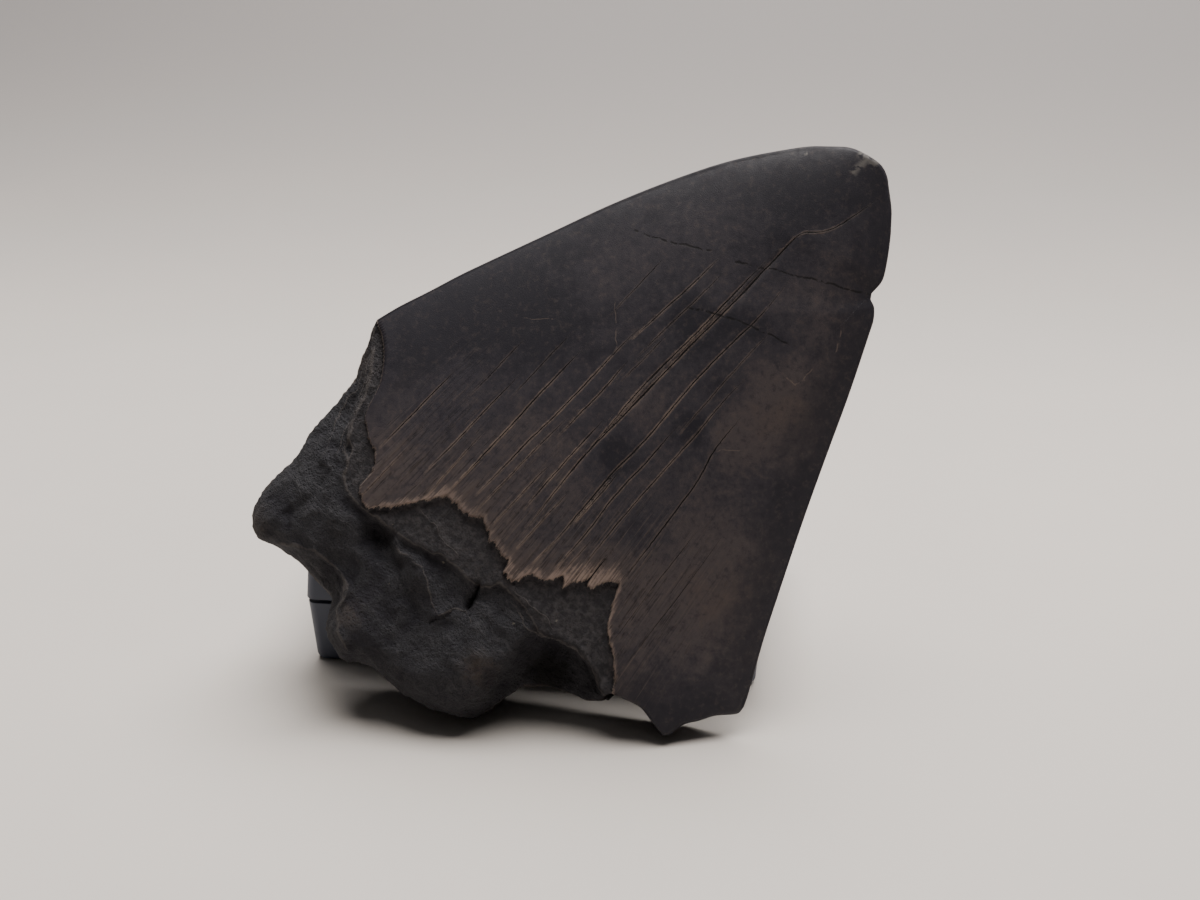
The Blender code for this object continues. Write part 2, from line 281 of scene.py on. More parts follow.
BASE_BREAK = [
    (48.3, -18.7), (49.4, -17.3), (49.6, -15.7), (50.2, -13.6), (51.9, -11.1), (53.6, -8.3),
    (56.5, -5.0), (56.6, -2.9),
]
MARGIN_ROW = [
    (-45.6, -6.4), (-43.6, -11.9), (-36.7, -16.3), (-33.9, -21.0), (-29.7, -22.5),
    (-24.7, -19.8), (-18.7, -12.4), (-12.3, -11.6), (-6.9, -11.4), (-4.3, -12.4), (0.9, -14.0),
    (5.5, -12.0), (10.3, -8.6), (14.4, -5.4), (19.9, -2.0), (23.2, -6.3), (25.7, -10.3), (32.1, -15.6),
]
ENAMEL_MARGIN = [
    (-62.0, 9.0), (-56.8, 3.8), (-53.8, 2.6), (-50.9, 0.7), (-48.6, -1.6), (-46.6, -4.2),
    (-45.6, -6.4), (-44.7, -9.5), (-43.6, -11.9), (-41.1, -13.4), (-38.6, -15.0), (-36.7, -15.3),
    (-35.8, -16.6), (-34.1, -17.9), (-33.9, -20.1), (-34.0, -22.5), (-33.1, -24.1),
    (-31.7, -24.7), (-29.7, -24.5), (-27.5, -23.6), (-25.8, -21.8), (-24.7, -19.8),
    (-22.6, -17.4), (-20.4, -14.5), (-18.7, -11.7), (-18.0, -11.4), (-16.4, -11.6),
    (-14.3, -11.3), (-12.3, -11.6), (-10.0, -10.2), (-6.9, -10.9), (-5.9, -12.5), (-4.3, -11.9),
    (-0.5, -12.8), (0.6, -13.5), (0.9, -15.0), (3.3, -15.3), (4.5, -13.5), (5.5, -11.5),
    (8.3, -10.5), (10.3, -8.1), (11.4, -8.0), (12.2, -9.4), (13.0, -6.6), (14.4, -5.4), (14.9, -4.4),
    (15.3, -5.4), (16.7, -5.3), (17.5, -3.0), (19.9, -0.8), (20.9, -2.8), (22.2, -5.3),
    (23.7, -8.3), (25.7, -10.3), (28.0, -11.9), (30.3, -13.6), (32.1, -15.6), (34.6, -18.4),
    (38.0, -21.0), (48.0, -23.0), (62.0, -28.0),
]
BREAK_LEDGE = [
    (-64.0, 8.0), (-56.6, 2.2), (-54.2, -0.4), (-51.9, -1.9), (-50.3, -3.9), (-48.7, -5.9),
    (-47.2, -8.6), (-46.6, -11.2), (-45.3, -13.9), (-43.1, -17.1), (-40.2, -19.2),
    (-39.1, -22.5), (-36.5, -24.8), (-33.0, -26.0), (-28.8, -25.8), (-25.7, -24.9),
    (-22.4, -24.7), (-19.2, -24.5), (-14.9, -23.1), (-10.4, -21.4), (-5.8, -20.7),
    (-0.2, -20.5), (1.2, -17.8), (2.9, -16.9), (10.4, -17.9), (16.3, -18.9), (19.0, -17.8),
    (23.8, -17.0), (29.4, -18.4), (34.0, -20.0), (48.0, -24.0), (62.0, -29.0),
]
# How tan the torn edge of the enamel is, by place: t, strength, and how far up it reaches
TAN_MARGIN = [
    (-60.0, 0.40, 0.3), (-46.0, 0.35, 0.3), (-37.0, 0.40, 0.4), (-33.0, 0.45, 0.5), (-30.5, 0.6, 1.0),
    (-26.0, 0.8, 1.5), (-21.0, 0.9, 1.8), (-18.0, 0.6, 2.6), (-13.0, 0.5, 2.4), (-8.0, 0.45, 1.6),
    (-2.0, 0.5, 1.8), (2.0, 0.8, 2.2), (6.0, 0.75, 2.2), (10.0, 0.95, 3.4), (15.0, 1.0, 5.0),
    (19.0, 0.7, 3.0), (20.5, 0.6, 1.0), (25.0, 0.9, 1.2), (34.0, 0.6, 0.8), (60.0, 0.2, 0.5),
]
BACK_MARGIN = [
    (-62.0, 0.0), (-45.0, -4.0), (-30.0, 3.0), (-12.0, 13.0), (0.0, 17.0), (12.0, 13.0),
    (30.0, 1.0), (42.0, -8.0), (62.0, -22.0),
]


@dataclass(frozen=True)
class Crack:
    """A groove along a run, with a pale torn lip beside it."""

    run: tuple[Point2, ...]
    width: float
    depth: float
    lip: float = 0.5
    fade: float = 0.25


FRONT_CRACKS = [
    Crack(((-36.2, -15.0), (-35.9, -2.5), (-35.5, 9.0)), 0.12, 0.15, 0.9),
    Crack(((-29.4, 6.0), (-29.2, 24.0)), 0.08, 0.06, 0.3),
    Crack(((-25.3, -12.0), (-25.0, -2.5), (-24.8, 8.0), (-24.7, 18.0)), 0.12, 0.14, 0.7),
    Crack(((-22.7, 12.0), (-22.6, 32.0)), 0.08, 0.06, 0.3),
    Crack(((-18.8, -11.0), (-18.6, 5.0), (-18.7, 15.0), (-18.5, 31.0)), 0.17, 0.24, 1.0),
    Crack(((-14.0, -9.0), (-13.7, 6.9), (-13.1, 18.0), (-12.9, 35.0), (-12.4, 44.0)), 0.14, 0.20, 1.0),
    Crack(((-12.2, 38.0), (-11.4, 47.5), (-10.6, 58.0), (-10.4, 64.0)), 0.13, 0.16, 0.8),
    Crack(((-11.9, -12.0), (-11.4, 8.0), (-10.9, 19.0)), 0.08, 0.06, 0.8),
    Crack(((-9.8, 13.0), (-9.5, 25.0), (-9.8, 35.0)), 0.14, 0.18, 0.9),
    Crack(((-9.0, 36.0), (-8.3, 47.5), (-7.6, 62.0)), 0.10, 0.08, 0.4),
    Crack(((-7.9, 30.0), (-7.4, 44.0)), 0.08, 0.06, 0.3),
    Crack(((-7.3, -10.0), (-7.2, 2.0), (-7.0, 9.0)), 0.07, 0.05, 0.9),
    Crack(((-4.7, -3.0), (-5.0, 5.0), (-5.2, 12.5), (-5.2, 23.0)), 0.15, 0.22, 1.0),
    Crack(((-1.5, -8.0), (-1.8, -2.0), (-2.4, 3.8), (-3.0, 12.0), (-3.1, 18.0), (-2.7, 25.0), (-2.5, 39.4),
           (-2.3, 47.5), (-1.8, 59.4), (-1.7, 70.0), (-1.5, 78.0)), 0.24, 0.45, 0.8, 0.05),
    Crack(((-1.7, 66.0), (-1.6, 77.0), (0.2, 79.5), (2.0, 81.5), (3.5, 85.0), (5.0, 91.5), (5.5, 95.0)),
          0.14, 0.16, 0.5, 0.35),
    Crack(((-3.1, 14.0), (-3.6, 25.0), (-3.9, 31.9), (-3.7, 39.4), (-3.2, 47.5), (-3.0, 60.0), (-2.6, 72.0)),
          0.20, 0.35, 0.9),
    Crack(((-0.3, -10.0), (-0.3, 7.0)), 0.06, 0.05, 0.8),
    Crack(((4.2, -12.0), (4.5, -3.0), (4.1, 6.9), (3.7, 15.0), (4.1, 25.0), (3.6, 33.1), (3.3, 41.3),
           (3.6, 51.9), (4.1, 60.0), (3.2, 72.0)), 0.18, 0.28, 0.9),
    Crack(((5.0, 2.0), (4.8, 9.0), (4.5, 17.0)), 0.10, 0.10, 1.0),
    Crack(((8.5, -8.0), (8.1, 3.8), (7.3, 10.0), (7.2, 16.3), (7.3, 22.5), (6.9, 33.0)), 0.14, 0.18, 0.9),
    Crack(((8.3, 30.0), (7.8, 47.5), (7.8, 60.0)), 0.08, 0.08, 0.4),
    Crack(((12.6, -6.0), (11.8, 3.8), (11.4, 10.0), (11.2, 16.3), (11.1, 25.0), (10.9, 33.8), (10.4, 41.3),
           (10.8, 51.0)), 0.13, 0.17, 0.7),
    Crack(((20.6, -2.5), (20.2, 1.3), (19.7, 6.3), (18.6, 17.5), (18.0, 23.8), (16.9, 28.8), (15.8, 33.1),
           (15.2, 43.0)), 0.15, 0.22, 0.4),
    Crack(((10.2, -8.0), (9.9, 3.0)), 0.06, 0.05, 0.7),
    Crack(((15.4, -10.5), (14.9, -2.6), (14.6, 2.4)), 0.26, 0.90, 0.3),
    Crack(((27.6, -14.0), (25.9, 2.0), (24.4, 20.0)), 0.07, 0.05, 0.2),
    Crack(((32.5, -12.4), (30.8, 5.8), (28.9, 22.2)), 0.08, 0.06, 0.0),
    Crack(((-21.6, -15.0), (-21.9, -6.0), (-21.9, 4.0)), 0.06, 0.05, 0.8),
    Crack(((-32.1, -26.0), (-31.9, -18.0), (-31.7, -9.0)), 0.05, 0.04, 0.8),
    Crack(((-19.1, 38.3), (-19.0, 56.0)), 0.08, 0.06, 0.2),
]
BACK_CRACKS = [
    Crack(((-28.0, 2.0), (-24.0, 30.0), (-18.0, 58.0)), 0.22, 0.30, 0.5),
    Crack(((-13.0, 8.0), (-11.5, 34.0), (-7.0, 60.0), (-4.0, 80.0)), 0.26, 0.45, 0.7),
    Crack(((1.0, 10.0), (0.5, 36.0), (1.6, 56.0)), 0.20, 0.25, 0.5),
    Crack(((9.0, 9.0), (8.0, 32.0), (6.0, 64.0)), 0.24, 0.40, 0.6),
    Crack(((23.0, 1.0), (20.0, 26.0), (16.0, 50.0)), 0.22, 0.28, 0.5),
    Crack(((37.0, -8.0), (34.0, 12.0), (30.0, 33.0)), 0.20, 0.20, 0.4),
    Crack(((-41.0, -4.0), (-37.5, 14.0), (-35.0, 31.0)), 0.20, 0.20, 0.4),
]


@dataclass(frozen=True)
class Ridge:
    """A raised or sunk line on the broken root: a bell across its run, with a thin pale line on its top that
    is partly pale broken edge and partly painted highlight.
    """

    run: tuple[Point2, ...]
    width: float
    height: float
    line: float = 0.0


FRONT_RIDGES = [
    Ridge(((-20.0, -26.3), (-16.7, -26.7), (-12.7, -25.9), (-8.7, -27.8), (-4.7, -30.2), (-2.7, -30.8)),
          1.4, 1.0, 0.22),
    Ridge(((-3.4, -31.2), (-1.4, -27.8), (0.8, -26.6), (4.0, -27.2)), 1.1, 0.6, 0.18),
    Ridge(((-26.0, -28.6), (-20.0, -29.9), (-13.0, -31.4), (-8.0, -34.0)), 1.8, -1.0),
    Ridge(((-24.0, -33.5), (-18.0, -33.0), (-11.5, -36.5)), 1.3, 0.5),
    Ridge(((-22.0, -17.3), (-16.5, -17.9), (-11.3, -18.9), (-7.0, -18.4)), 1.0, 0.3, 0.10),
    Ridge(((4.0, -15.9), (8.5, -16.4), (13.0, -15.9), (17.0, -16.6)), 1.0, 0.4, 0.12),
    Ridge(((5.9, -18.4), (11.3, -20.0), (15.3, -19.9), (18.7, -18.2), (23.4, -16.8)), 1.2, 0.6, 0.18),
    Ridge(((1.7, -24.5), (6.9, -23.5), (12.8, -22.6), (16.0, -21.9)), 1.4, 0.8),
    Ridge(((5.0, -29.0), (9.0, -30.6), (12.5, -33.5)), 1.4, 0.6),
    Ridge(((-55.0, 1.0), (-51.3, -2.7), (-47.3, -8.0), (-45.6, -12.7), (-43.6, -16.0), (-41.8, -19.5),
           (-38.6, -23.0)), 0.6, 0.6, 0.30),
    Ridge(((-53.3, -1.5), (-50.5, -5.5), (-47.9, -10.0), (-46.6, -14.0), (-44.9, -18.0), (-42.0, -22.5)),
          0.6, 0.5, 0.20),
    Ridge(((-52.5, -5.0), (-50.3, -9.0), (-49.7, -15.0), (-46.9, -20.0), (-44.0, -25.0)), 0.8, 0.5, 0.15),
    Ridge(((-42.2, -23.3), (-37.3, -27.4), (-33.0, -31.0)), 2.0, 0.7),
    Ridge(((-41.0, -26.0), (-40.0, -32.0), (-41.5, -39.0)), 1.2, -0.5),
    Ridge(((-1.3, -21.0), (-0.1, -23.6), (0.6, -26.0)), 0.65, -2.6),
    Ridge(((-1.2, -27.5), (-2.2, -30.6), (-3.4, -33.4)), 0.4, -0.7),
    Ridge(((17.6, -27.5), (17.8, -36.0)), 1.6, -1.2),
    Ridge(((-41.0, -46.6), (-36.6, -42.6), (-31.3, -40.0), (-27.5, -39.6), (-22.0, -40.4), (-20.0, -43.0)),
          0.7, 0.7, 0.40),
    Ridge(((-26.0, -39.9), (-21.5, -41.5), (-19.5, -45.5), (-16.5, -48.0), (-11.5, -49.8)), 0.7, 0.6, 0.35),
    Ridge(((-40.0, -46.6), (-34.0, -44.4), (-28.0, -43.4), (-22.5, -44.2), (-18.0, -47.5)), 0.9, -0.7),
]
BACK_RIDGES = [
    Ridge(((-44.0, -24.0), (-24.0, -16.0), (-4.0, -13.0), (18.0, -17.0)), 1.6, -0.8),
    Ridge(((-40.0, -36.0), (-22.0, -29.0), (-2.0, -30.0), (12.0, -36.0)), 1.8, -0.7),
]


@dataclass(frozen=True)
class Swelling:
    """A round swelling or hollow: a bell around a place."""

    t: float
    s: float
    reach: float
    height: float


FRONT_SWELLINGS = [
    Swelling(9.0, -34.0, 10.0, 2.6),
    Swelling(-39.0, -34.0, 12.0, 1.6),
    Swelling(-13.0, -46.0, 8.0, 1.2),
    Swelling(-22.6, -28.6, 3.6, -1.5),
    Swelling(-26.0, -41.0, 6.0, -2.4),
    Swelling(0.0, -24.5, 2.6, -1.6),
    Swelling(-12.0, -27.5, 3.5, 1.2),
    Swelling(-49.0, -14.0, 4.5, -1.8),
    Swelling(-25.1, -28.6, 2.2, -1.2),
    Swelling(-5.5, -38.0, 4.0, -0.9),
    Swelling(3.5, -43.0, 4.5, 0.7),
]
BACK_SWELLINGS = [
    Swelling(0.0, -22.0, 20.0, 2.0),
    Swelling(-36.0, -32.0, 12.0, 1.5),
    Swelling(-4.0, -16.0, 1.1, -2.0),
    Swelling(3.5, -20.0, 0.8, -1.5),
]


@dataclass
class Surface:
    """One face of the blade: its places, its height above the middle plane and its masks."""

    points: Array
    height: Array
    masks: dict[str, Array] = field(default_factory=dict)


@dataclass(frozen=True)
class BladeForm:
    """The tooth's form in millimetres: how its faces rise over its flat outline.

    The half thickness is a lens across the blade, in proportion to the blade's width, less the step
    where the enamel has broken off and the deeper step to the root, plus ridges and swellings, and
    rounded down to nothing at the outline.
    """

    edge_half: float = 1.0
    front_swell: float = 0.19
    back_swell: float = 0.15
    swell_power: float = 0.8
    edge_reach: float = 60.0
    tip_span: Point2 = (-10.0, 9.0)
    enamel_step: float = 1.15
    step_width: float = 0.3
    root_step: float = 1.3
    ledge_width: float = 1.6
    recess_step: float = 7.5
    recess_start: Point2 = (12.0, 19.0)
    recess_end: Point2 = (28.0, 36.0)
    recess_fade: float = 0.7
    ledge_crest: float = 0.35
    margin_teeth: tuple[Point2, ...] = ((0.65, 0.7), (0.55, 1.7), (0.35, 3.6))
    fibre_depth: float = 0.06
    fibre_fineness: float = 1.4
    streaks_up: Point2 = (2.0, 34.0)
    streaks_left: Point2 = (-44.0, -30.0)
    streaks_right: Point2 = (34.0, 46.0)
    back_streaks_up: Point2 = (2.0, 30.0)
    back_torn: float = 0.2
    band_span: Point2 = (-7.5, -6.5)
    back_step: float = 0.7
    crown_round: float = 0.6
    root_round: float = 8.0
    break_round: float = 1.2
    break_from: float = 34.0
    break_span: Point2 = (1.0, 6.0)
    ridge_end: float = 0.15
    thinnest: float = 0.45
    narrowest_cut: float = 0.65
    modelled_cut: float = 0.4
    cut_start: float = 0.3
    lip_start: float = 0.05
    lip_end: float = 0.65
    patchiness: float = 0.4
    close_by: Point2 = (0.8, 1.1)
    far_off: float = 20.0
    torn_share: tuple[Point2, ...] = (
        (-60.0, 0.1), (-46.0, 0.1), (-42.0, 0.5), (-34.0, 0.9),
        (17.0, 1.0), (20.0, 0.6), (34.0, 0.5), (60.0, 0.1),
    )
    fan_apex: float = 361.0
    fan_middle: float = -18.0
    fan_level: float = -15.0

    def outline(self) -> Array:
        """The whole outline as one closed run."""
        left, top, base, bottom = (
            rounded_run(run) for run in (ROOT_LEFT, CUTTING_EDGES, BASE_BREAK, ROOT_BOTTOM)
        )
        return np.vstack([left[:-1], top, base[-2::-1], bottom[-2::-1]])

    def carried_on(self, run: Array) -> Array:
        """A run with a straight stretch added at both ends."""
        before, after = run[0] - run[1], run[-1] - run[-2]
        first = run[0] + before / np.hypot(*before) * self.edge_reach
        last = run[-1] + after / np.hypot(*after) * self.edge_reach
        return np.vstack([first, run, last])

    def swell(self, points: Array, share_of_width: float) -> Array:
        """A lens across the blade: the product of the distances to both edges over the half width squared."""
        edges = np.array(CUTTING_EDGES)
        left = measured_to(points, self.carried_on(edges[edges[:, 0] < self.tip_span[0]]))[0]
        right = measured_to(points, self.carried_on(edges[edges[:, 0] > self.tip_span[1]]))[0]
        half_width = (left + right) / 2.0
        lens = np.clip(left * right / half_width**2, 0.0, 1.0)
        return (self.edge_half + share_of_width * half_width) * lens**self.swell_power

    def fan(self, points: Array) -> Array:
        """The place across, at the enamel's margin, of the crack line that runs through a point."""
        spread = 1.0 - (points[..., 1] - self.fan_level) / self.fan_apex
        return self.fan_middle + (points[..., 0] - self.fan_middle) / spread

    def swellings(self, points: Array, forms: list[Swelling]) -> Array:
        """Round swellings and hollows added up."""
        total = np.zeros(points.shape[:-1])
        for form in forms:
            away = np.hypot(points[..., 0] - form.t, points[..., 1] - form.s)
            total += form.height * bell(away, form.reach)
        return total

    def cracked(self, points: Array, cracks: list[Crack]) -> tuple[Array, dict[str, Array]]:
        """Grooves along cracks: a bell across each run, thinned towards its ends.

        Args:
            points: The face's places, (..., 2).
            cracks: The cracks to cut.

        Returns:
            The depth, and as masks the signed distance to the nearest crack, the half width of its dark
            line there, and how pale its lips are.
        """
        wander = Noise(11)
        flat = np.stack([points[..., 0], points[..., 1], np.zeros(points.shape[:-1])], axis=-1)
        sway = 0.07 * wander.at(flat * [0.2, 0.25, 1.0]) + 0.05 * wander.at(flat * [0.9, 1.3, 1.0])
        moved = np.stack([points[..., 0] + sway, points[..., 1]], axis=-1)
        patchy = smooth(wander.at(flat * [0.8, 0.16, 1.0] + 40.0), -0.5, 0.4)
        depth, cut, lip = (np.zeros(points.shape[:-1]) for _ in range(3))
        signed = np.full(points.shape[:-1], self.far_off)
        nearest = np.full(points.shape[:-1], np.inf)
        for crack in cracks:
            away, share, side = measured_to(moved, rounded_run(list(crack.run), 3))
            ends = smooth(share, 0.0, self.cut_start) * (1.0 - smooth(share, 1.0 - crack.fade, 1.0))
            ends = ends * (1.0 - self.patchiness * (1.0 - patchy))
            lip_ends = smooth(share, 0.0, self.lip_start) * (1.0 - smooth(share, self.lip_end, 1.0))
            lip_ends = lip_ends * (1.0 - self.patchiness * patchy)
            groove = bell(away, max(crack.width, self.narrowest_cut)) * ends
            depth = np.maximum(depth, self.modelled_cut * crack.depth * groove)
            closer = away < nearest
            nearest = np.where(closer, away, nearest)
            signed = np.where(closer, side * away, signed)
            cut = np.where(closer, crack.width * ends, cut)
            lip = np.where(closer, crack.lip * lip_ends, lip)
        close = 1.0 - smooth(nearest, *self.close_by)
        return depth, {"crack": signed, "cut": cut * close, "lip": lip * close}

    def ridged(self, points: Array, ridges: list[Ridge]) -> tuple[Array, dict[str, Array]]:
        """Ridges and furrows added up.

        Args:
            points: The face's places, (..., 2).
            ridges: The ridges to raise or sink.

        Returns:
            The height, and as masks the signed distance to the nearest ridge with a pale line and the half
            width of that line.
        """
        height, line = (np.zeros(points.shape[:-1]) for _ in range(2))
        signed = np.full(points.shape[:-1], self.far_off)
        nearest = np.full(points.shape[:-1], np.inf)
        for ridge in ridges:
            away, share, side = measured_to(points, rounded_run(list(ridge.run), 4))
            height = height + ridge.height * bell(away, ridge.width)
            if ridge.line > 0.0:
                ends = smooth(share, 0.0, self.ridge_end) * (1.0 - smooth(share, 1.0 - self.ridge_end, 1.0))
                closer = away < nearest
                nearest = np.where(closer, away, nearest)
                signed = np.where(closer, side * away, signed)
                line = np.where(closer, ridge.line * ends, line)
        return height, {"ridge": signed, "line": line * (1.0 - smooth(nearest, *self.close_by))}

    def across_fibres(self, noise: Noise, points: Array, fineness: float) -> Array:
        """Noise read across the fan of crack lines and hardly along it."""
        place = [self.fan(points) * fineness, points[..., 1] * 0.05, np.full(points.shape[:-1], fineness)]
        return noise.at(np.stack(place, axis=-1))

    def rounded(self, points: Array, half: Array, on_crown: Array, inside: Array) -> Array:
        """The half thickness with its rim rounded, widely on the root and narrowly on the crown."""
        reach = self.root_round + (self.crown_round - self.root_round) * on_crown
        run = [place for place in ROOT_BOTTOM if place[0] > self.break_from] + BASE_BREAK[1:]
        broken = measured_to(points, rounded_run(run))[0]
        reach = self.break_round + (reach - self.break_round) * smooth(broken, *self.break_span)
        return np.maximum(half * rim(inside, reach), self.thinnest * rim(inside, self.crown_round))

    def front(self, points: Array) -> Surface:
        """The front face: enamel over a broken ledge over the root."""
        noise = Noise(3)
        flat = np.stack([points[..., 0], points[..., 1], np.zeros(points.shape[:-1])], axis=-1)
        torn = np.interp(points[..., 0], *zip(*self.torn_share))
        teeth = 0.2 * noise.at(flat * 1.6)
        for reach, fineness in self.margin_teeth:
            teeth = teeth + reach * self.across_fibres(noise, points, fineness)
        shifted = np.stack([points[..., 0], points[..., 1] + torn * teeth], axis=-1)
        above = height_above(shifted, rounded_run(ENAMEL_MARGIN, 2))
        ledge = height_above(points, rounded_run(BREAK_LEDGE, 3)) + 0.5 * noise.layered(flat * 0.45, 3)
        enamel = smooth(above, -self.step_width, self.step_width)
        on_ledge = smooth(ledge, -self.ledge_width, self.ledge_width / 2)
        filled = self.recess_fade * smooth(points[..., 0], *self.recess_end)
        missing = smooth(points[..., 0], *self.recess_start) * (1.0 - filled)
        root_step = self.root_step + (self.recess_step - self.root_step) * missing
        half = self.swell(points, self.front_swell)
        half = half - self.enamel_step * (1.0 - enamel) - root_step * (1.0 - on_ledge)
        half = half + self.swellings(points, FRONT_SWELLINGS) * (1.0 - on_ledge)
        bare = 1.0 - enamel
        half = half + self.ledge_crest * bell(ledge + 0.2, 0.9) * bare
        wavy = points + 0.5 * np.stack([noise.at(flat * 0.5), noise.at(flat * 0.5 + 30.0)], axis=-1)
        raised, ridge_masks = self.ridged(wavy, FRONT_RIDGES)
        half = half + raised * bare
        places, shares, heights = zip(*TAN_MARGIN)
        depth, crack_masks = self.cracked(points, FRONT_CRACKS)
        sides = smooth(points[..., 0], *self.streaks_left)
        sides = sides * (1.0 - smooth(points[..., 0], *self.streaks_right))
        streaked = (1.0 - smooth(above, *self.streaks_up)) * sides
        fibres = self.fibre_depth * self.across_fibres(noise, points, self.fibre_fineness)
        half = half - enamel * (depth + fibres * streaked)
        inside = measured_to(points, self.outline())[0]
        height = self.rounded(points, half, enamel, inside)
        masks = {
            "enamel": enamel,
            "ledge": on_ledge * bare,
            "above": above,
            "ledge_line": ledge + 0.1,
            "inside": inside,
            "streaked": streaked,
            "torn": torn,
            "tan": np.interp(points[..., 0], places, shares),
            "tan_reach": np.interp(points[..., 0], places, heights),
        }
        return Surface(points, height, {**masks, **crack_masks, **ridge_masks})

    def back(self, points: Array) -> Surface:
        """The back face: enamel that ends in a low arch, a smooth band below it, then the root."""
        noise = Noise(5)
        flat = np.stack([points[..., 0], points[..., 1], np.zeros(points.shape[:-1])], axis=-1)
        above = height_above(points, rounded_run(BACK_MARGIN))
        above = above + 0.5 * noise.at(flat * [0.9, 0.2, 1.0]) + 0.25 * noise.at(flat * [2.6, 0.5, 1.0])
        enamel = smooth(above, -self.step_width, self.step_width)
        band = smooth(above, *self.band_span)
        half = self.swell(points, self.back_swell)
        half = half - self.back_step * (1.0 - 0.6 * enamel - 0.4 * band)
        half = half + self.swellings(points, BACK_SWELLINGS)
        depth, crack_masks = self.cracked(points, BACK_CRACKS)
        raised, ridge_masks = self.ridged(points, BACK_RIDGES)
        half = half + raised * (1.0 - enamel)
        inside = measured_to(points, self.outline())[0]
        height = self.rounded(points, half - depth * enamel, enamel, inside)
        masks = {
            "enamel": enamel,
            "ledge": band * (1.0 - enamel),
            "above": above,
            "ledge_line": above - sum(self.band_span) / 2.0,
            "inside": inside,
            "streaked": 0.5 * (1.0 - smooth(above, *self.back_streaks_up)),
            "torn": np.full_like(above, self.back_torn),
            "tan": np.full_like(above, self.back_torn),
            "tan_reach": np.ones_like(above),
        }
        return Surface(points, height, {**masks, **crack_masks, **ridge_masks})


# Colour stains on the front face: warm ones count up and dark ones count down. Some are painted light and
# shade, marked below.
STAINS_AND_PAINTED_LIGHT = [
    Swelling(14.0, 35.5, 2.4, 0.8),
    Swelling(24.0, 52.0, 9.0, 0.6),
    Swelling(18.0, 43.0, 7.0, 0.4),
    Swelling(10.0, 72.0, 9.0, 0.35),
    Swelling(-21.0, 68.0, 8.0, 0.35),
    Swelling(-30.0, 46.0, 9.0, 0.5),
    Swelling(-34.0, 7.0, 6.0, 0.45),
    Swelling(-13.0, 5.0, 14.0, 0.5),
    Swelling(-30.0, -10.0, 10.0, 0.4),
    Swelling(-1.0, 30.0, 4.0, 0.5),
    Swelling(38.0, 12.0, 9.0, 0.5),
    Swelling(42.0, 21.0, 3.5, 0.4),
    Swelling(26.0, 2.0, 9.0, 0.3),
    Swelling(-8.0, 51.0, 3.5, -0.7),
    Swelling(-3.0, 47.0, 5.0, -0.5),
    Swelling(0.0, 54.0, 3.5, -0.6),
    Swelling(6.0, 57.0, 3.5, -0.6),
    Swelling(12.0, 59.0, 3.0, -0.4),
    Swelling(8.0, 44.0, 5.0, -0.4),
    Swelling(10.0, 33.0, 4.5, -0.8),
    Swelling(2.0, 18.0, 4.5, -0.9),
    Swelling(16.0, 10.0, 5.0, -0.5),
    Swelling(29.0, 34.0, 6.0, -0.4),
    Swelling(36.0, 36.0, 5.0, -0.5),
    Swelling(-33.0, 26.0, 13.0, -0.5),
    Swelling(-45.0, 8.0, 10.0, -0.6),
    Swelling(-18.0, 79.0, 8.0, -0.3),
    Swelling(-2.0, 75.0, 6.0, -0.35),
    Swelling(48.0, -10.0, 7.0, -0.3),
    Swelling(50.2, 5.5, 2.6, 0.9),
    # Painted shade: a dark run along the left cutting edge up to the tip
    Swelling(0.0, 92.0, 9.0, -0.5),
    Swelling(-13.0, 88.0, 9.0, -0.7),
    Swelling(-27.0, 68.0, 9.0, -0.6),
    Swelling(-37.0, 46.0, 9.0, -0.5),
    Swelling(-46.0, 22.0, 11.0, -0.5),
    # Painted shade over the left and upper middle of the blade, and painted light over its right side
    Swelling(-24.0, 34.0, 26.0, -0.35),
    Swelling(-4.0, 74.0, 15.0, -0.3),
    Swelling(-34.0, 2.0, 14.0, -0.3),
    Swelling(36.0, 12.0, 18.0, 0.45),
    Swelling(24.0, 46.0, 13.0, 0.35),
    Swelling(-47.0, -46.0, 5.0, 0.6),
    Swelling(-17.0, -44.0, 4.0, 0.6),
    Swelling(-53.0, -4.0, 5.0, 0.6),
    Swelling(11.0, -33.0, 4.5, 0.7),
    # Painted shade in the root's pit below the ledge and in the recess beside the lump
    Swelling(-24.0, -27.0, 5.0, -0.5),
    Swelling(22.0, -26.0, 6.0, -0.9),
]


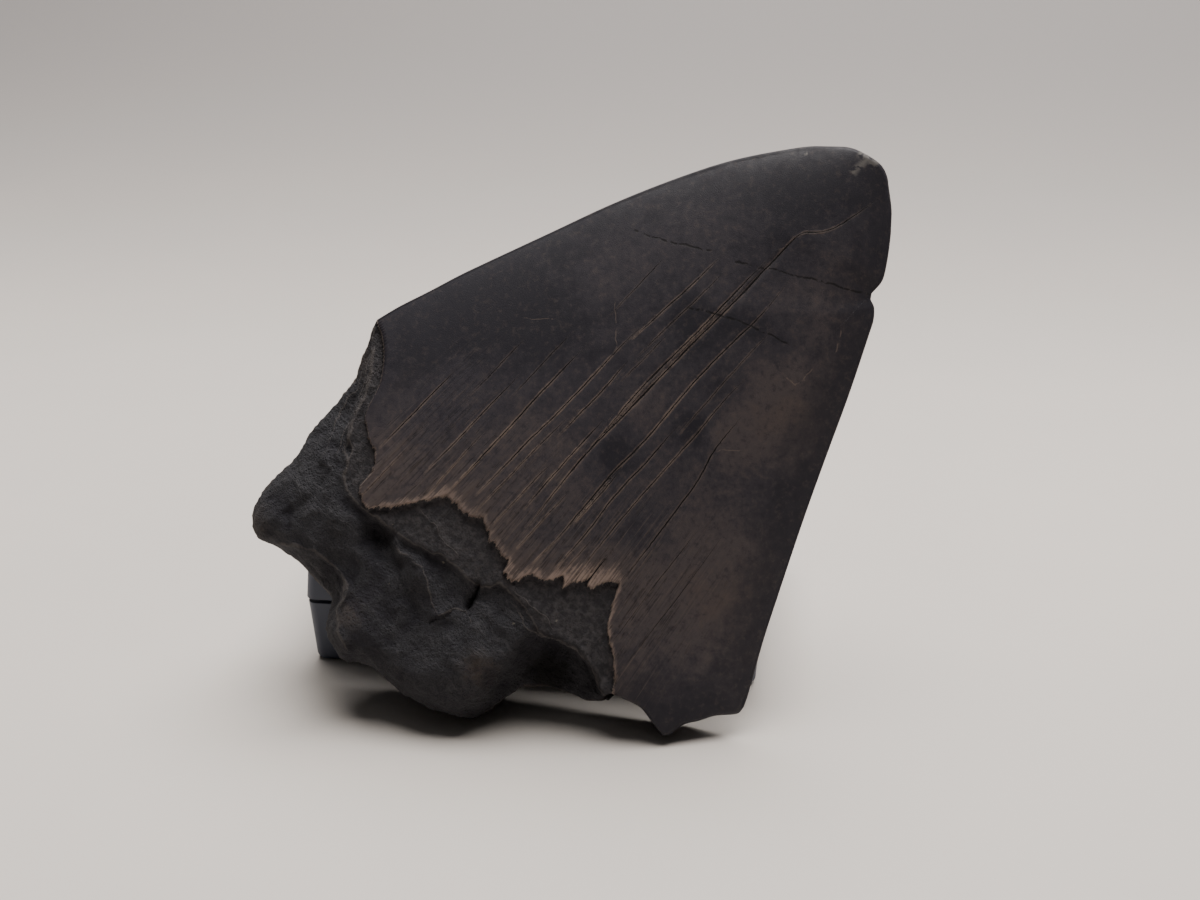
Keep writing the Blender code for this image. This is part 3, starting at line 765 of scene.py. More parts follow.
@dataclass
class Tooth:
    """The tooth: both faces as grids that share their rim, stood up where the frame's tooth stands.

    The back has one column for every few of the front's, and a ladder of triangles joins its first
    and last rows to the rim.
    """

    form: BladeForm = field(default_factory=BladeForm)
    columns: int = 400
    front_to_back: int = 4
    root_rows: int = 60
    crown_rows: int = 118
    column_sizes: tuple[Point2, ...] = (
        (0.0, 0.8), (0.06, 1.3), (0.10, 0.95), (0.30, 0.8), (0.36, 0.55),
        (0.78, 0.55), (0.84, 1.2), (0.95, 1.6), (1.0, 0.8),
    )
    root_sizes: tuple[Point2, ...] = ((0.0, 0.7), (0.2, 1.1), (0.7, 1.0), (1.0, 0.5))
    crown_sizes: tuple[Point2, ...] = ((0.0, 0.4), (0.15, 0.6), (0.4, 1.2), (0.9, 1.2), (1.0, 0.5))
    side_splits: Point2 = (0.72, 0.45)
    margin_span: Point2 = (-46.0, 34.0)
    lean: float = 20.0
    turn: float = 40.0
    middle: Point3 = (-0.2608, -26.3767, 42.6354)
    lump_sizes: tuple[Point3, ...] = ((0.40, 6.5, 0.0), (0.22, 2.1, 9.0), (0.09, 0.8, 21.0))
    ridge_height: float = 0.9
    back_share: float = 0.6
    back_sink: float = 0.35

    def face_points(self, margin: list[Point2], across: Array) -> Array:
        """Every row and column of one face: a patch below the margin's row and one above it."""
        root_up = graded(self.root_rows, self.root_sizes)
        crown_up = graded(self.crown_rows, self.crown_sizes)
        lower, upper = [], []
        for side, split in zip((rounded_run(ROOT_LEFT), rounded_run(BASE_BREAK)), self.side_splits):
            lower.append(along(side, split * root_up, 0.0))
            upper.append(along(side, split + (1.0 - split) * crown_up, 0.0))
        inner = [point for point in margin if self.margin_span[0] < point[0] < self.margin_span[1]]
        ends = [tuple(side[0]) for side in upper]
        middle = along(rounded_run([ends[0]] + inner + [ends[1]], 4), across, 0.8)
        bottom = along(rounded_run(ROOT_BOTTOM), across, 0.7)
        top = along(rounded_run(CUTTING_EDGES), across, 0.7)
        root = patch(bottom, middle, *lower, across, root_up)
        crown = patch(middle, top, *upper, across, crown_up)
        return np.concatenate([root, crown[:, 1:]], axis=1)

    def joined(self, columns: int, rows: int) -> tuple[Array, Array]:
        """The faces of both grids, numbered so that they share the rim's points.

        Args:
            columns: The front's columns of squares.
            rows: The rows of squares on both faces.

        Returns:
            The triangles and the squares, all facing outwards.
        """
        step = self.front_to_back
        count = columns // step
        front = np.arange((columns + 1) * (rows + 1)).reshape(columns + 1, rows + 1)
        back = front[::step].copy()
        back[1:-1, 1:-1] = front.size + np.arange((count - 1) * (rows - 1)).reshape(count - 1, rows - 1)
        squares = np.stack([front[:-1, :-1], front[1:, :-1], front[1:, 1:], front[:-1, 1:]], axis=-1)
        behind = back[:, 1:-1]
        turned = np.stack([behind[:-1, :-1], behind[:-1, 1:], behind[1:, 1:], behind[1:, :-1]], axis=-1)
        triangles = [
            np.stack([back[:-1, 1], back[1:, 1], back[1:, 0]], axis=-1),
            np.stack([back[:-1, -2], back[1:, -1], back[1:, -2]], axis=-1),
        ]
        for k in range(step):
            start, end = front[k:-1:step], front[k + 1 :: step]
            triangles.append(np.stack([back[:-1, 1], end[:, 0], start[:, 0]], axis=-1))
            triangles.append(np.stack([back[:-1, -2], start[:, -1], end[:, -1]], axis=-1))
        return np.concatenate(triangles), np.concatenate([squares.reshape(-1, 4), turned.reshape(-1, 4)])

    def roughened(self, points: Array, normals: Array, masks: dict[str, Array]) -> Array:
        """The points moved along their normals by noise where the enamel is missing.

        The root takes lumps of about 7, 2 and 1 millimetres and ridges that run across the blade, and
        the broken ledge takes fine fibres that run along it. The back takes less and is sunk a little.
        """
        noise = Noise(8)
        lumps = sum(rise * noise.at(points / size + shift) for rise, size, shift in self.lump_sizes)
        ridges = self.ridge_height * (noise.ridged(points * [0.09, 0.26, 0.26] + 5.0, 4) - 0.55)
        fibres = 0.12 * noise.at(points * [1.1, 0.16, 1.1]) + 0.10 * noise.at(points * 0.9 + 3.0)
        bare = 1.0 - masks["enamel"]
        lift = bare * ((1.0 - masks["ledge"]) * (lumps + ridges) + masks["ledge"] * fibres)
        lift = np.where(masks["front"] > 0.5, lift, self.back_share * lift - self.back_sink * bare)
        masks["relief"] = np.clip(0.5 + lift, 0.0, 1.0)
        return points + normals * lift[:, None]

    def standing(self, points: Array) -> Array:
        """The points turned by the blade's turn in its plane, leaned back, and set in place."""
        turn, lean = math.radians(self.turn), math.radians(self.lean)
        across = points[:, 0] * math.cos(turn) + points[:, 1] * math.sin(turn)
        up = points[:, 1] * math.cos(turn) - points[:, 0] * math.sin(turn)
        back = up * math.sin(lean) - points[:, 2] * math.cos(lean)
        rise = up * math.cos(lean) + points[:, 2] * math.sin(lean)
        return np.stack([across, back, rise], axis=-1) + np.array(self.middle)

    def build(self) -> bpy.types.Object:
        """Make the tooth's object, with the masks that its finish reads."""
        across = graded(self.columns, self.column_sizes)
        front = self.form.front(self.face_points(MARGIN_ROW, across))
        back = self.form.back(self.face_points(BACK_MARGIN, across[:: self.front_to_back]))
        front.masks["front"] = np.ones(front.height.shape)
        back.masks["front"] = np.zeros(back.height.shape)
        # The stain mask: real stains plus painted shade and painted light
        front.masks["stain_and_painted_light"] = 0.5 + 0.5 * np.clip(self.form.swellings(front.points, STAINS_AND_PAINTED_LIGHT), -1.0, 1.0)
        back.masks["stain_and_painted_light"] = np.full(back.height.shape, 0.5)
        inner = (slice(1, -1), slice(1, -1))
        flat = np.concatenate([front.points.reshape(-1, 2), back.points[inner].reshape(-1, 2)])
        height = np.concatenate([front.height.ravel(), -back.height[inner].ravel()])
        masks = {
            name: np.concatenate([front.masks[name].ravel(), back.masks[name][inner].ravel()])
            for name in front.masks
        }
        triangles, squares = self.joined(self.columns, front.height.shape[1] - 1)
        points = np.column_stack([flat, height])
        halves = np.concatenate([triangles, squares[:, [0, 1, 2]], squares[:, [0, 2, 3]]])
        points = self.roughened(points, point_normals(points, halves), masks)
        low, high = (np.array(corner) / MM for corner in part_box("tooth"))
        faces = triangles.tolist() + squares.tolist()
        obj = make_mesh("tooth_surface", np.clip(self.standing(points), low, high), faces)
        for name, values in masks.items():
            add_mask(obj, name, values)
        add_vectors(obj, "blade", np.column_stack([flat, self.form.fan(flat)]) / BLADE_UNIT)
        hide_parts("tooth")
        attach(obj, "root")
        return obj


@dataclass
class Case:
    """The stand: a closed two-part case, each half a profile carried round a rounded rectangle."""

    foot_width: float = 101.0
    foot_depth: float = 68.0
    seam: float = 15.2
    gap: float = 0.3
    draft: float = math.tan(math.radians(4.0))
    lid_overhang: float = 0.25
    wall: float = 2.0
    corner_round: float = 2.4
    edge_round: float = 1.6
    rim_round: float = 0.15
    inner_round: float = 0.8
    least_round: float = 0.5
    flat_from: float = 12.0
    edge_steps: int = 7
    corner_steps: int = 10
    wall_steps: int = 10

    def profile(self) -> Array:
        """The wall of one half as (inset, height): foot, outer wall, rim, inner wall and inner floor.

        Each rounded edge is a quarter circle worked out from its two ends.
        """
        top = self.seam - self.gap / 2.0
        turn = np.linspace(0.0, math.pi / 2.0, self.edge_steps)
        edge, small, inside = self.edge_round, self.rim_round, self.inner_round
        rise = np.linspace(edge, top - small, self.wall_steps)[1:-1]
        fall = np.linspace(top - small, self.wall + inside, self.wall_steps)[1:-1]
        pieces = [
            ([self.flat_from], [0.0]),
            (edge - edge * np.sin(turn), edge - edge * np.cos(turn)),
            (np.zeros_like(rise), rise),
            (small - small * np.cos(turn), top - small + small * np.sin(turn)),
            (self.wall - small + small * np.sin(turn), top - small + small * np.cos(turn)),
            (np.full_like(fall, self.wall), fall),
            (self.wall + inside - inside * np.cos(turn), self.wall + inside - inside * np.sin(turn)),
            ([self.flat_from], [self.wall]),
        ]
        return np.column_stack([np.concatenate([np.asarray(p[k], float) for p in pieces]) for k in (0, 1)])

    def ring(self, inset: Array, rise: Array, overhang: float) -> Array:
        """Rounded rectangles, one for each (inset, height): four quarter circles at the corners.

        Args:
            inset: How far in from the case's own face each ring lies.
            rise: Each ring's height above the half's outer end.
            overhang: How much wider than the base this half is.

        Returns:
            The points, (rings, corners times steps, 2).
        """
        spread = overhang - inset + rise * self.draft
        half = np.stack([self.foot_width / 2.0 + spread, self.foot_depth / 2.0 + spread], axis=-1)
        radius = np.maximum(self.corner_round - inset, self.least_round)[:, None, None]
        angle = np.linspace(0.0, math.pi / 2.0, self.corner_steps)
        angle = (angle[None] + np.arange(4)[:, None] * math.pi / 2.0).ravel()
        way = np.stack([np.cos(angle), np.sin(angle)], axis=-1)
        middle = angle.reshape(4, -1).mean(axis=1, keepdims=True).repeat(self.corner_steps, 1).ravel()
        corner = np.sign(np.stack([np.cos(middle), np.sin(middle)], axis=-1))
        return corner[None] * (half[:, None] - radius) + radius * way[None]

    def build(self, half: Half) -> bpy.types.Object:
        """Make one half; the lid is the base's profile upside down."""
        is_lid = half is Half.LID
        profile = self.profile()
        ring = self.ring(profile[:, 0], profile[:, 1], self.lid_overhang if is_lid else 0.0)
        rings, around = ring.shape[:2]
        low, high = (np.array(corner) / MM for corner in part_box(half.value))
        rise = high[2] - profile[:, 1] if is_lid else low[2] + profile[:, 1]
        points = np.dstack([ring + (low + high)[:2] / 2.0, np.repeat(rise[:, None], around, 1)])
        index = np.arange(rings * around).reshape(rings, around)
        after = np.roll(index, -1, axis=1)
        squares = np.stack([index[:-1], after[:-1], after[1:], index[1:]], axis=-1).reshape(-1, 4)
        faces = squares.tolist() + [index[0, ::-1].tolist(), index[-1].tolist()]
        if is_lid:
            faces = [face[::-1] for face in faces]
        obj = make_mesh(half.value + "_shell", np.clip(points.reshape(-1, 3), low, high), faces)
        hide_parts(half.value)
        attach(obj, "root")
        return obj


# Shader tools


class Graph:
    """Adds shader nodes to one tree and joins them in short steps."""

    def __init__(self, tree: bpy.types.NodeTree) -> None:
        """Work on this tree."""
        self.tree = tree

    def add(self, kind: str, inputs: dict | None = None, **settings: object) -> bpy.types.Node:
        """Add a node.

        Args:
            kind: The node's type.
            inputs: A value or another node's output for each input, by name or number.
            settings: The node's own options.

        Returns:
            The new node.
        """
        node = self.tree.nodes.new(kind)
        for name, value in settings.items():
            setattr(node, name, value)
        for name, value in (inputs or {}).items():
            if isinstance(value, Socket):
                self.tree.links.new(value, node.inputs[name])
            else:
                node.inputs[name].default_value = value
        return node

    def math(self, operation: str, first: object, second: object = 0.0) -> Socket:
        """One sum on numbers."""
        return self.add("ShaderNodeMath", {0: first, 1: second}, operation=operation).outputs[0]

    def vector(self, operation: str, first: object, second: object, output: str = "Vector") -> Socket:
        """One sum on vectors."""
        return self.add("ShaderNodeVectorMath", {0: first, 1: second}, operation=operation).outputs[output]

    def between(self, value: object, start: float, end: float, low: float = 0.0, high: float = 1.0) -> Socket:
        """An S curve from low at start to high at end."""
        limits = {"Value": value, "From Min": start, "From Max": end, "To Min": low, "To Max": high}
        node = self.add("ShaderNodeMapRange", limits, interpolation_type="SMOOTHSTEP")
        return node.outputs["Result"]

    def times(self, first: object, second: object) -> Socket:
        """The product of two numbers."""
        return self.math("MULTIPLY", first, second)

    def plus(self, first: object, second: object) -> Socket:
        """The sum of two numbers."""
        return self.math("ADD", first, second)

    def centred(self, value: object, share: float) -> Socket:
        """How far a noise is from its middle, times a fixed share."""
        return self.times(self.math("SUBTRACT", value, 0.5), share)

    def swirl(self, place: object, scale: float) -> Socket:
        """Three soft noises, around 0.5, to move a place by."""
        inputs = {"Vector": place, "Scale": scale, "Detail": 1.0}
        return self.add("ShaderNodeTexNoise", inputs).outputs["Color"]

    def mixed(self, share: object, first: object, second: object) -> Socket:
        """The first number turning into the second by a share."""
        return self.add("ShaderNodeMix", {0: share, 2: first, 3: second}).outputs[0]

    def blend(self, share: object, first: object, second: object) -> Socket:
        """The first colour turning into the second by a share."""
        return self.add("ShaderNodeMix", {0: share, 6: first, 7: second}, data_type="RGBA").outputs[2]

    def noise(self, place: object, scale: float, detail: float = 2.0, roughness: float = 0.5) -> Socket:
        """Fractal noise, around 0.5."""
        inputs = {"Vector": place, "Scale": scale, "Detail": detail, "Roughness": roughness}
        return self.add("ShaderNodeTexNoise", inputs).outputs[0]

    def mask(self, name: str) -> Socket:
        """A number that the shape left on its points."""
        return self.add("ShaderNodeAttribute", attribute_name=name).outputs["Fac"]

    def millimetres(self) -> Socket:
        """Object coordinates in millimetres."""
        place = self.add("ShaderNodeTexCoord").outputs["Object"]
        return self.stretched(place, (1.0 / MM,) * 3)

    def stretched(self, place: object, scale: Point3) -> Socket:
        """A place scaled on each axis."""
        return self.add("ShaderNodeMapping", {"Vector": place, "Scale": scale}).outputs[0]

    def bump(self, height: object) -> Socket:
        """The normal that a height in millimetres gives."""
        return self.add("ShaderNodeBump", {"Height": height, "Distance": MM, "Strength": 1.0}).outputs[0]

    def effect(self, group: bpy.types.NodeTree, inputs: dict) -> Socket:
        """Place a shared effect with its own values."""
        return self.add("ShaderNodeGroup", inputs, node_tree=group).outputs[0]


def start_effect(name: str, inputs: dict[str, object], output: str) -> tuple[Graph, dict, bpy.types.Node]:
    """Begin a node group with named inputs and one output.

    Args:
        name: The group's name.
        inputs: Each input's starting value: a number, or three numbers for a vector.
        output: The output's name; it is a number.

    Returns:
        The group's graph, its inputs by name, and the node that takes its output.
    """
    tree = bpy.data.node_groups.new(name, "ShaderNodeTree")
    for socket, value in inputs.items():
        kind = "NodeSocketVector" if isinstance(value, tuple) else "NodeSocketFloat"
        made = tree.interface.new_socket(socket, in_out="INPUT", socket_type=kind)
        made.default_value = value
    tree.interface.new_socket(output, in_out="OUTPUT", socket_type="NodeSocketFloat")
    graph = Graph(tree)
    entry = graph.add("NodeGroupInput")
    return graph, {socket: entry.outputs[socket] for socket in inputs}, graph.add("NodeGroupOutput")


class Effects:
    """The node groups that the finishes share."""

    def __init__(self) -> None:
        """Build each group once."""
        self.mottle = self.make_mottle()
        self.streaks = self.make_streaks()
        self.speckle = self.make_speckle()
        self.hairline = self.make_hairline()
        self.grain = self.make_grain()

    def make_mottle(self) -> bpy.types.NodeTree:
        """Soft patches from 0 to 1: fractal noise read at a place that other noise has moved."""
        given = {"Place": (0.0, 0.0, 0.0), "Scale": 0.1, "Contrast": 0.2}
        graph, given, end = start_effect("mottle", given, "Patch")
        inputs = {0: given["Place"], "Scale": given["Scale"]}
        place = graph.add("ShaderNodeVectorMath", inputs, operation="SCALE").outputs[0]
        moved = graph.vector("ADD", place, graph.swirl(place, 0.7))
        value = graph.noise(moved, 1.0, 4.0, 0.55)
        low = graph.math("SUBTRACT", 0.5, given["Contrast"])
        high = graph.plus(0.5, given["Contrast"])
        graph.tree.links.new(graph.between(value, low, high), end.inputs[0])
        return graph.tree

    def make_streaks(self) -> bpy.types.NodeTree:
        """Long fine streaks from 0 to 1: noise read across the fan of crack lines, drawn out along it."""
        given = {"Blade": (0.0, 0.0, 0.0), "Fineness": 8.0, "Length": 0.3, "Shift": 0.0}
        graph, given, end = start_effect("fibre_streaks", given, "Streak")
        parts = graph.add("ShaderNodeSeparateXYZ", {0: given["Blade"]})
        fan = graph.times(parts.outputs[2], given["Fineness"])
        way = graph.times(parts.outputs[1], given["Length"])
        place = graph.add("ShaderNodeCombineXYZ", {0: fan, 1: way, 2: given["Shift"]}).outputs[0]
        graph.tree.links.new(graph.noise(place, 1.0, 3.0, 0.6), end.inputs[0])
        return graph.tree

    def make_speckle(self) -> bpy.types.NodeTree:
        """Small specks: a round dot in the cells of a lattice that a random value picks."""
        given = {"Place": (0.0, 0.0, 0.0), "Scale": 1.0, "Share": 0.2, "Size": 0.2}
        graph, given, end = start_effect("speckle", given, "Speck")
        cell = graph.add("ShaderNodeTexVoronoi", {"Vector": given["Place"], "Scale": given["Scale"]})
        pick = graph.add("ShaderNodeSeparateColor", {0: cell.outputs["Color"]}).outputs[0]
        chosen = graph.math("LESS_THAN", pick, given["Share"])
        ragged = graph.times(graph.noise(given["Place"], 3.0), given["Size"])
        dot = graph.math("LESS_THAN", cell.outputs["Distance"], ragged)
        graph.tree.links.new(graph.times(chosen, dot), end.inputs[0])
        return graph.tree

    def make_hairline(self) -> bpy.types.NodeTree:
        """A thin wavering line between two places on the blade, by the distance to the straight one."""
        given = {"Blade": (0.0, 0.0, 0.0), "Start": (0.0, 0.0, 0.0), "End": (1.0, 0.0, 0.0), "Width": 0.02}
        graph, given, end = start_effect("hairline", given, "Line")
        flat = graph.vector("MULTIPLY", given["Blade"], (1.0, 1.0, 0.0))
        bend = graph.add("ShaderNodeTexNoise", {"Vector": flat, "Scale": 2.6, "Detail": 3.0}).outputs["Color"]
        bend = graph.vector("MULTIPLY", graph.vector("SUBTRACT", bend, (0.5, 0.5, 0.5)), (0.16, 0.16, 0.0))
        off = graph.vector("SUBTRACT", graph.vector("ADD", flat, bend), given["Start"])
        whole = graph.vector("SUBTRACT", given["End"], given["Start"])
        along_it = graph.vector("DOT_PRODUCT", off, whole, "Value")
        squared = graph.vector("DOT_PRODUCT", whole, whole, "Value")
        share = graph.add(
            "ShaderNodeMath", {0: along_it, 1: squared}, operation="DIVIDE", use_clamp=True
        ).outputs[0]
        reached = graph.add("ShaderNodeVectorMath", {0: whole, "Scale": share}, operation="SCALE").outputs[0]
        away = graph.vector("DISTANCE", off, reached, "Value")
        line = graph.between(away, given["Width"], 0.0)
        broken = graph.between(graph.noise(flat, 7.0), 0.38, 0.5)
        fade = graph.between(graph.math("ABSOLUTE", graph.math("SUBTRACT", share, 0.5)), 0.5, 0.36)
        graph.tree.links.new(graph.times(graph.times(line, broken), fade), end.inputs[0])
        return graph.tree

    def make_grain(self) -> bpy.types.NodeTree:
        """A fine grain's height from 0 to 1: fractal noise with small round pits taken out of it."""
        given = {"Place": (0.0, 0.0, 0.0), "Scale": 2.0, "Pits": 0.3}
        graph, given, end = start_effect("grain", given, "Height")
        rough = graph.noise(given["Place"], given["Scale"], 5.0, 0.62)
        inputs = {"Vector": given["Place"], "Scale": given["Scale"]}
        cell = graph.add("ShaderNodeTexVoronoi", inputs).outputs["Distance"]
        pit = graph.between(cell, 0.35, 0.05)
        sunk = graph.times(pit, given["Pits"])
        graph.tree.links.new(graph.math("SUBTRACT", rough, sunk), end.inputs[0])
        return graph.tree


@dataclass(frozen=True)
class Hairline:
    """A thin straight crack or scratch drawn in the finish, in (t, s) millimetres."""

    start: Point2
    end: Point2
    width: float = 0.25


@dataclass(frozen=True)
class ToothFinish:
    """Fossil enamel over a bare ledge and a rough root, mixed by the masks on the tooth's points."""

    enamel_cool: Color = (0.0340, 0.0305, 0.0375, 1.0)
    enamel_warm: Color = (0.0610, 0.0500, 0.0520, 1.0)
    enamel_rust: Color = (0.0820, 0.0580, 0.0460, 1.0)
    # Dark of stains and streaks, also painted shade at the enamel's outline and in the root's sunk parts
    dark_tone_and_shade: Color = (0.0190, 0.0175, 0.0235, 1.0)
    margin_band: Color = (0.1000, 0.0760, 0.0660, 1.0)
    margin_tan: Color = (0.2900, 0.2150, 0.1760, 1.0)
    rim: Color = (0.2600, 0.2150, 0.1850, 1.0)
    lip: Color = (0.2300, 0.1700, 0.1350, 1.0)
    # Near black of cracks and cut lines, also painted shade in the root's pit and recess
    groove_brown_and_shade: Color = (0.0050, 0.0044, 0.0046, 1.0)
    ledge: Color = (0.0270, 0.0255, 0.0290, 1.0)
    ledge_pale: Color = (0.0560, 0.0510, 0.0540, 1.0)
    # Pale of the broken crests, also a painted highlight on ridge tops and the ledge's edge
    crest_and_highlight: Color = (0.1250, 0.1100, 0.1040, 1.0)
    root: Color = (0.0260, 0.0255, 0.0300, 1.0)
    # Pale of fibres and grain, also painted highlight on the root's raised parts
    root_pale_and_highlight: Color = (0.0640, 0.0615, 0.0670, 1.0)
    root_warm: Color = (0.0640, 0.0500, 0.0440, 1.0)
    # Pale of the broken rim, partly painted highlight
    root_rim_and_highlight: Color = (0.1200, 0.0970, 0.0850, 1.0)
    dust: Color = (0.2600, 0.2300, 0.1800, 1.0)
    # Pale of chips and wear at the tip, also a painted glint
    chip_and_glint: Color = (0.2600, 0.2400, 0.2150, 1.0)
    enamel_roughness: Point2 = (0.50, 0.64)
    root_roughness: float = 0.76
    specular: float = 0.20
    thinnest_line: float = 0.001
    lip_share: float = 0.55
    thread_share: float = 0.5
    cut_share: float = 0.85
    scuff_share: float = 0.30
    chip_and_glint_share: float = 0.32
    dot_share: float = 0.03
    crest_and_highlight_share: float = 0.45
    dust_share: float = 0.35
    groove_height: float = 0.18
    lip_height: float = 0.06
    stone_height: float = 0.70
    fibre_height: float = 0.55
    cloud_height: float = 0.90
    hairlines: tuple[Hairline, ...] = (
        Hairline((-28.5, 55.0), (-19.8, 58.6), 0.35),
        Hairline((-21.0, 58.2), (-12.0, 63.2), 0.35),
        Hairline((-8.5, 64.0), (1.0, 69.5), 0.35),
        Hairline((-1.0, 68.2), (18.8, 79.0), 0.40),
        Hairline((-9.0, 50.2), (1.5, 56.0), 0.45),
        Hairline((0.0, 55.2), (14.0, 60.0), 0.35),
    )
    scratches: tuple[Hairline, ...] = (
        Hairline((16.4, 53.9), (19.2, 54.0), 0.22),
        Hairline((18.6, 53.8), (20.0, 56.2), 0.22),
        Hairline((19.6, 55.6), (19.1, 59.4), 0.22),
        Hairline((18.0, 68.8), (20.6, 64.4), 0.25),
        Hairline((-20.5, 42.0), (-13.0, 34.0), 0.16),
        Hairline((-32.5, 26.0), (-26.5, 31.0), 0.16),
        Hairline((16.0, 33.0), (20.0, 36.5), 0.18),
    )
    # Chips and a wear facet at the tip; the last is a painted glint
    chips_and_glint: tuple[Hairline, ...] = (
        Hairline((-2.0, 93.6), (-1.9, 99.5), 1.3),
        Hairline((-4.6, 98.4), (0.8, 98.9), 1.5),
        # A painted glint: a small pale dot near the tip
        Hairline((-12.6, 90.8), (-12.0, 91.4), 0.6),
    )

    def drawn(self, graph: Graph, effects: Effects, blade: object, lines: tuple[Hairline, ...]) -> object:
        """Several hairlines as one mask."""
        total = 0.0
        for line in lines:
            start, end = ((t / BLADE_UNIT, s / BLADE_UNIT, 0.0) for t, s in (line.start, line.end))
            inputs = {"Blade": blade, "Start": start, "End": end, "Width": line.width / BLADE_UNIT}
            total = graph.math("MAXIMUM", graph.effect(effects.hairline, inputs), total)
        return total

    def material(self, effects: Effects) -> bpy.types.Material:
        """Build the material: colour, roughness and bump of enamel, ledge and root."""
        made = bpy.data.materials.new("fossil_tooth")
        made.use_nodes = True
        graph = Graph(made.node_tree)
        surface = made.node_tree.nodes["Principled BSDF"]
        place = graph.millimetres()
        blade = graph.add("ShaderNodeAttribute", attribute_name="blade").outputs["Vector"]
        part = self.parts(graph, effects, place, blade)
        enamel = self.enamel_colour(graph, part)
        ledge = graph.blend(graph.between(part["cloud"], 0.40, 0.64), self.ledge, self.ledge_pale)
        ledge = graph.blend(graph.between(part["fine"], 0.56, 0.70, 0.0, 0.5), ledge, self.ledge_pale)
        # Crest line on the ledge: pale broken edge, partly painted highlight
        ledge = graph.blend(graph.times(part["ridge_line"], self.crest_and_highlight_share), ledge, self.crest_and_highlight)
        bare = graph.blend(part["ledge"], self.root_colour(graph, part), ledge)
        bare = graph.blend(graph.times(part["specks"], self.dust_share), bare, self.dust)
        graph.tree.links.new(graph.blend(part["on_enamel"], bare, enamel), surface.inputs["Base Color"])
        sheen = graph.between(part["small"], 0.0, 1.0, *self.enamel_roughness)
        rough = graph.mixed(part["on_enamel"], self.root_roughness, sheen)
        graph.tree.links.new(rough, surface.inputs["Roughness"])
        surface.inputs["Specular IOR Level"].default_value = self.specular
        graph.tree.links.new(graph.bump(self.height(graph, part)), surface.inputs["Normal"])
        return made

    def parts(self, graph: Graph, effects: Effects, place: object, blade: object) -> dict[str, object]:
        """The masks and noises that colour and bump share."""
        names = (
            "ledge", "ledge_line", "above", "crack", "cut", "lip", "ridge", "line", "inside", "streaked",
            "torn", "tan", "tan_reach", "front", "stain_and_painted_light", "relief",
        )
        part = {name: graph.mask(name) for name in names}
        streak = {"coarse": (6.0, 0.22, 0.0), "fine": (26.0, 0.5, 4.0), "hair": (60.0, 1.1, 9.0)}
        for name, (fineness, length, shift) in streak.items():
            inputs = {"Blade": blade, "Fineness": fineness, "Length": length, "Shift": shift}
            part[name] = graph.effect(effects.streaks, inputs)
        part["small"] = graph.effect(effects.mottle, {"Place": place, "Scale": 0.40, "Contrast": 0.20})
        part["cloud"] = graph.noise(place, 0.7, 5.0, 0.68)
        part["mist"] = graph.noise(place, 0.22, 4.0, 0.6)
        part["grain"] = graph.effect(effects.grain, {"Place": place, "Scale": 1.3, "Pits": 0.35})
        part["fine_grain"] = graph.effect(effects.grain, {"Place": place, "Scale": 3.6, "Pits": 0.25})
        bent = graph.vector("ADD", blade, graph.stretched(graph.swirl(blade, 1.1), (0.7, 0.7, 0.0)))
        part["root_fibre"] = graph.noise(graph.stretched(bent, (3.0, 16.0, 1.0)), 1.0, 4.0, 0.62)
        specks = {"specks": (0.45, 0.06, 0.26), "dots": (0.8, 0.10, 0.45)}
        for name, (scale, share, size) in specks.items():
            inputs = {"Place": place, "Scale": scale, "Share": share, "Size": size}
            part[name] = graph.effect(effects.speckle, inputs)
        drawings = {"cuts": self.hairlines, "scuffs": self.scratches, "chips_and_glint": self.chips_and_glint}
        for name, lines in drawings.items():
            part[name] = graph.times(self.drawn(graph, effects, blade, lines), part["front"])
        jag = graph.times(graph.centred(part["hair"], 2.2), part["torn"])
        part["from_margin"] = graph.plus(part["above"], jag)
        part["on_enamel"] = graph.between(part["from_margin"], -0.10, 0.06)
        away = graph.math("ABSOLUTE", graph.plus(part["crack"], graph.centred(part["cloud"], 0.18)))
        cut = graph.math("MAXIMUM", part["cut"], self.thinnest_line)
        part["groove"] = graph.between(graph.math("DIVIDE", away, cut), 1.1, 0.5)
        beyond = graph.plus(graph.math("SUBTRACT", away, part["cut"]), graph.centred(part["fine"], 0.5))
        lips = graph.between(beyond, 0.42, 0.10)
        lips = graph.times(lips, graph.between(part["cloud"], 0.32, 0.56, 0.25, 1.0))
        part["lips"] = graph.times(lips, part["lip"])
        # The crest line: pale broken edges of ridges and the ledge, partly a painted highlight on their tops
        away = graph.math("ABSOLUTE", graph.plus(part["ridge"], graph.centred(part["cloud"], 0.5)))
        line = graph.math("MAXIMUM", part["line"], self.thinnest_line)
        line = graph.between(graph.math("DIVIDE", away, line), 1.6, 0.2)
        away = graph.math("ABSOLUTE", graph.plus(part["ledge_line"], graph.centred(part["cloud"], 0.6)))
        line = graph.math("MAXIMUM", line, graph.between(away, 0.38, 0.05))
        part["ridge_line"] = graph.times(line, graph.between(part["small"], 0.0, 0.5, 0.25, 1.0))
        crossing = graph.math("ABSOLUTE", graph.math("SUBTRACT", part["coarse"], 0.5))
        thread = graph.between(crossing, 0.022, 0.004)
        thread = graph.times(thread, graph.between(part["small"], 0.25, 0.7))
        part["thread"] = graph.times(thread, part["streaked"])
        return part

